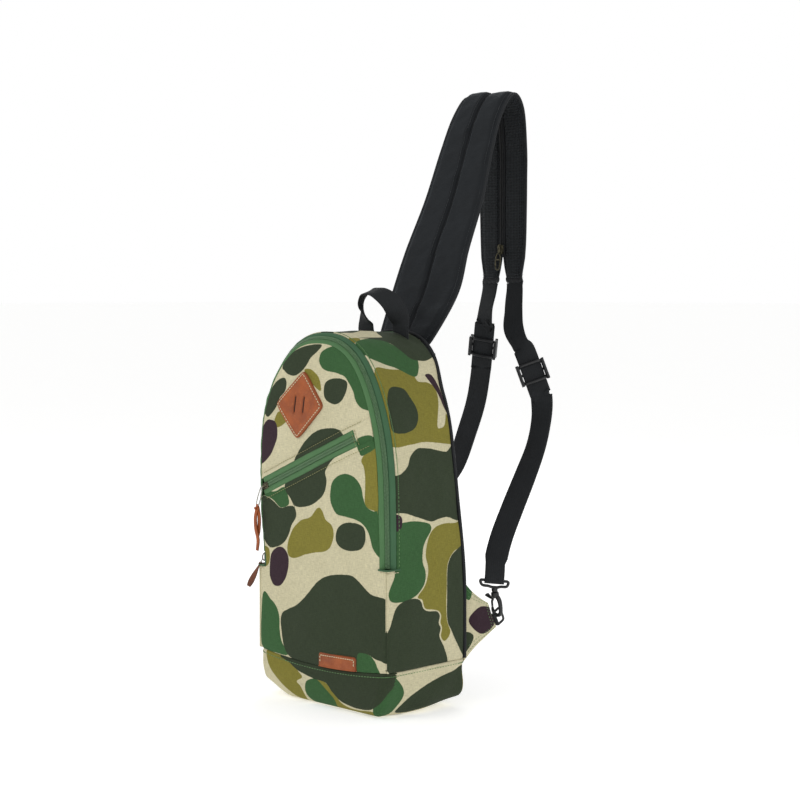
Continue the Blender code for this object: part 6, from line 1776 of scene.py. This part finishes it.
# ================================================================ lining and pocket
s = np.linspace(0.0165, LENGTH - 0.0165, 150)
x, z, nx, nz = outline(s)
q = np.linspace(0, 1, 26)
y0, y1 = y_front(z) + 0.0166, y_back(z) - 0.0112
Yl = y0[:, None] + (y1 - y0)[:, None] * q[None, :]
o = 0.0044 + 0.0003 * waves(np.stack([np.repeat(s[:, None], 26, 1), Yl], -1), 18.0, 91)
o = np.maximum(o, 0.0040)
g_ = lambda oo_: np.stack([x[:, None] + nx[:, None] * oo_, Yl, z[:, None] + nz[:, None] * oo_], -1)
fl = np.stack([np.repeat(s[:, None], 26, 1), Yl], -1)
slab("lining_sides", lift_base(g_(o)), lift_base(g_(o + 0.0006)), LINING, "bag", "lining", ("lining",), None, fl, angle=70)
X, Z, D = back_grid(0.0050, 44, 60)
wv = waves(np.stack([X, Z], -1), 15.0, 92) * 0.0005
slab("lining_back", lift_base(np.stack([X, y_back(Z) - 0.0118 - np.abs(wv), Z], -1)), lift_base(np.stack([X, y_back(Z) - 0.0112 + 0 * X, Z], -1)), LINING, "bag", "lining", (), None, np.stack([X, Z], -1), angle=70)
gx, gy = np.meshgrid(np.linspace(-0.0940, 0.0940, 40), np.linspace(-0.0470, 0.0490, 24), indexing="ij")
gz = 0.0080 + 0.0003 * waves(np.stack([gx, gy], -1), 18.0, 93)
rim_ = np.maximum(np.abs(gx) - 0.084, 0) / 0.010
gz = gz + 0.0040 * ease(rim_)
slab("lining_base", lift_base(np.stack([gx, gy, gz], -1)), lift_base(np.stack([gx, gy, gz - 0.0006], -1)), LINING, "bag", "lining", ("lining_floor",), None, np.stack([gx, gy], -1), angle=70)
# inside of the flap
x_ = np.linspace(-1, 1, 60) * (HALF_W - 0.0168)
zt = arch_z(x_, 0.0168)
Z = HINGE_Z + 0.004 + (zt[None, :] - HINGE_Z - 0.004) * np.linspace(0, 1, 80)[:, None]
X = np.repeat(x_[None], 80, 0)
wv = waves(np.stack([X, Z], -1), 16.0, 94) * 0.0003
slab("flap_inner_lining", swell(np.stack([X, y_front(Z) + 0.0058 + wv, Z], -1)), swell(np.stack([X, y_front(Z) + 0.0051 + wv, Z], -1)), LINING, "front_flap", "lining", ("flap_lining",), None,
     np.stack([X, Z], -1), angle=70)
x_ = np.linspace(-1, 1, 50) * (HALF_W - 0.0205)
zt = np.minimum(arch_z(x_, 0.0205), 0.352)
Z = 0.166 + (zt[None, :] - 0.166) * np.linspace(0, 1, 60)[:, None]
X = np.repeat(x_[None], 60, 0)
slab("pocket_lining", swell(np.stack([X, y_front(Z) + 0.0044, Z], -1)), swell(np.stack([X, y_front(Z) + 0.0036, Z], -1)), LINING, "front_flap", "lining", ("pocket_bag",), None,
     np.stack([X, Z], -1), angle=70)
# bound edge round the flap's inside
s = np.linspace(HINGE_Z + 0.004, LENGTH - HINGE_Z - 0.004, 200)
P = swell(inset(s, 0.0163, 0.0050))
R_ = wire(P, 0.0013, 8, up=(0, 1, 0))
fl = np.stack([np.repeat(np.linspace(0, 0.008, 8)[None], len(s), 0), np.repeat(s[:, None], 8, 1)], -1)
skin("flap_edge_binding", R_, BINDING, "front_flap", "black_tape", (), flat=fl.reshape(-1, 2), angle=60)
# floor board keeps its CAD shape
gx_, gy_ = np.meshgrid(np.linspace(-0.0890, 0.0890, 60), np.linspace(-0.0448, 0.0485, 34), indexing="ij")
slab("floor_board", lift_base(np.stack([gx_, gy_, 0 * gx_ + 0.0064], -1)), lift_base(np.stack([gx_, gy_, 0 * gx_ + 0.0042], -1)), BOARD, "bag", "board", ("base_stiffener",), None,
     np.stack([gx_, gy_], -1), angle=70)

# ================================================================ floor and light
bm = bmesh.new()
bmesh.ops.create_grid(bm, x_segments=2, y_segments=2, size=45.0)
me = bpy.data.meshes.new("studio_floor")
bm.to_mesh(me)
bm.free()
floor = bpy.data.objects.new("studio_floor", me)
bpy.context.scene.collection.objects.link(floor)
floor.location = (0, 0, -0.0004)
fm = Mat("pale_floor", rough=0.9, spec=0.1)
fp_ = coords(fm)
me.materials.append(fm.done(fm.mix(fm.noise(fp_, 3.0, 2.0), lin("#fdfdfc"), lin("#fbfbfa")), fm.bump(fm.noise(fp_, 300.0), 0.02, 0.0002)))
fm.b.inputs["Emission Color"].default_value = (1, 1, 1, 1)
fm.b.inputs["Emission Strength"].default_value = 0.38

world = bpy.data.worlds.new("studio")
bpy.context.scene.world = world
world.use_nodes = True
world.node_tree.nodes["Background"].inputs[0].default_value = (1, 1, 1, 1)
world.node_tree.nodes["Background"].inputs[1].default_value = 0.62
wn = world.node_tree
seen = wn.nodes.new("ShaderNodeBackground")
seen.inputs[0].default_value = (1, 1, 1, 1)
seen.inputs[1].default_value = 1.0
path_ = wn.nodes.new("ShaderNodeLightPath")
mixer = wn.nodes.new("ShaderNodeMixShader")
wn.links.new(path_.outputs["Is Camera Ray"], mixer.inputs[0])
wn.links.new(wn.nodes["Background"].outputs[0], mixer.inputs[1])
wn.links.new(seen.outputs[0], mixer.inputs[2])
wn.links.new(mixer.outputs[0], wn.nodes["World Output"].inputs[0])


def area(name, loc, target, size, power, colour=(1, 1, 1)):
    ld = bpy.data.lights.new(name, "AREA")
    ld.shape = "RECTANGLE"
    ld.size, ld.size_y = size
    ld.energy = power
    ld.color = colour
    ob_ = bpy.data.objects.new(name, ld)
    bpy.context.scene.collection.objects.link(ob_)
    ob_.location = loc
    ob_.rotation_euler = (Vector(target) - Vector(loc)).to_track_quat("-Z", "Y").to_euler()
    return ob_


area("key", (-0.6, -2.2, 1.9), (0, 0, 0.25), (1.4, 1.4), 14.5)
area("fill", (2.4, -0.2, 1.4), (0, 0, 0.3), (1.4, 1.4), 10)
area("rim", (-1.2, 1.8, 1.8), (0, 0.1, 0.35), (1.4, 1.0), 12)

bpy.context.scene.view_settings.view_transform = "Standard"
bpy.context.scene.view_settings.look = "None"
bpy.context.scene.view_settings.exposure = 0.0

bpy.context.view_layer.update()
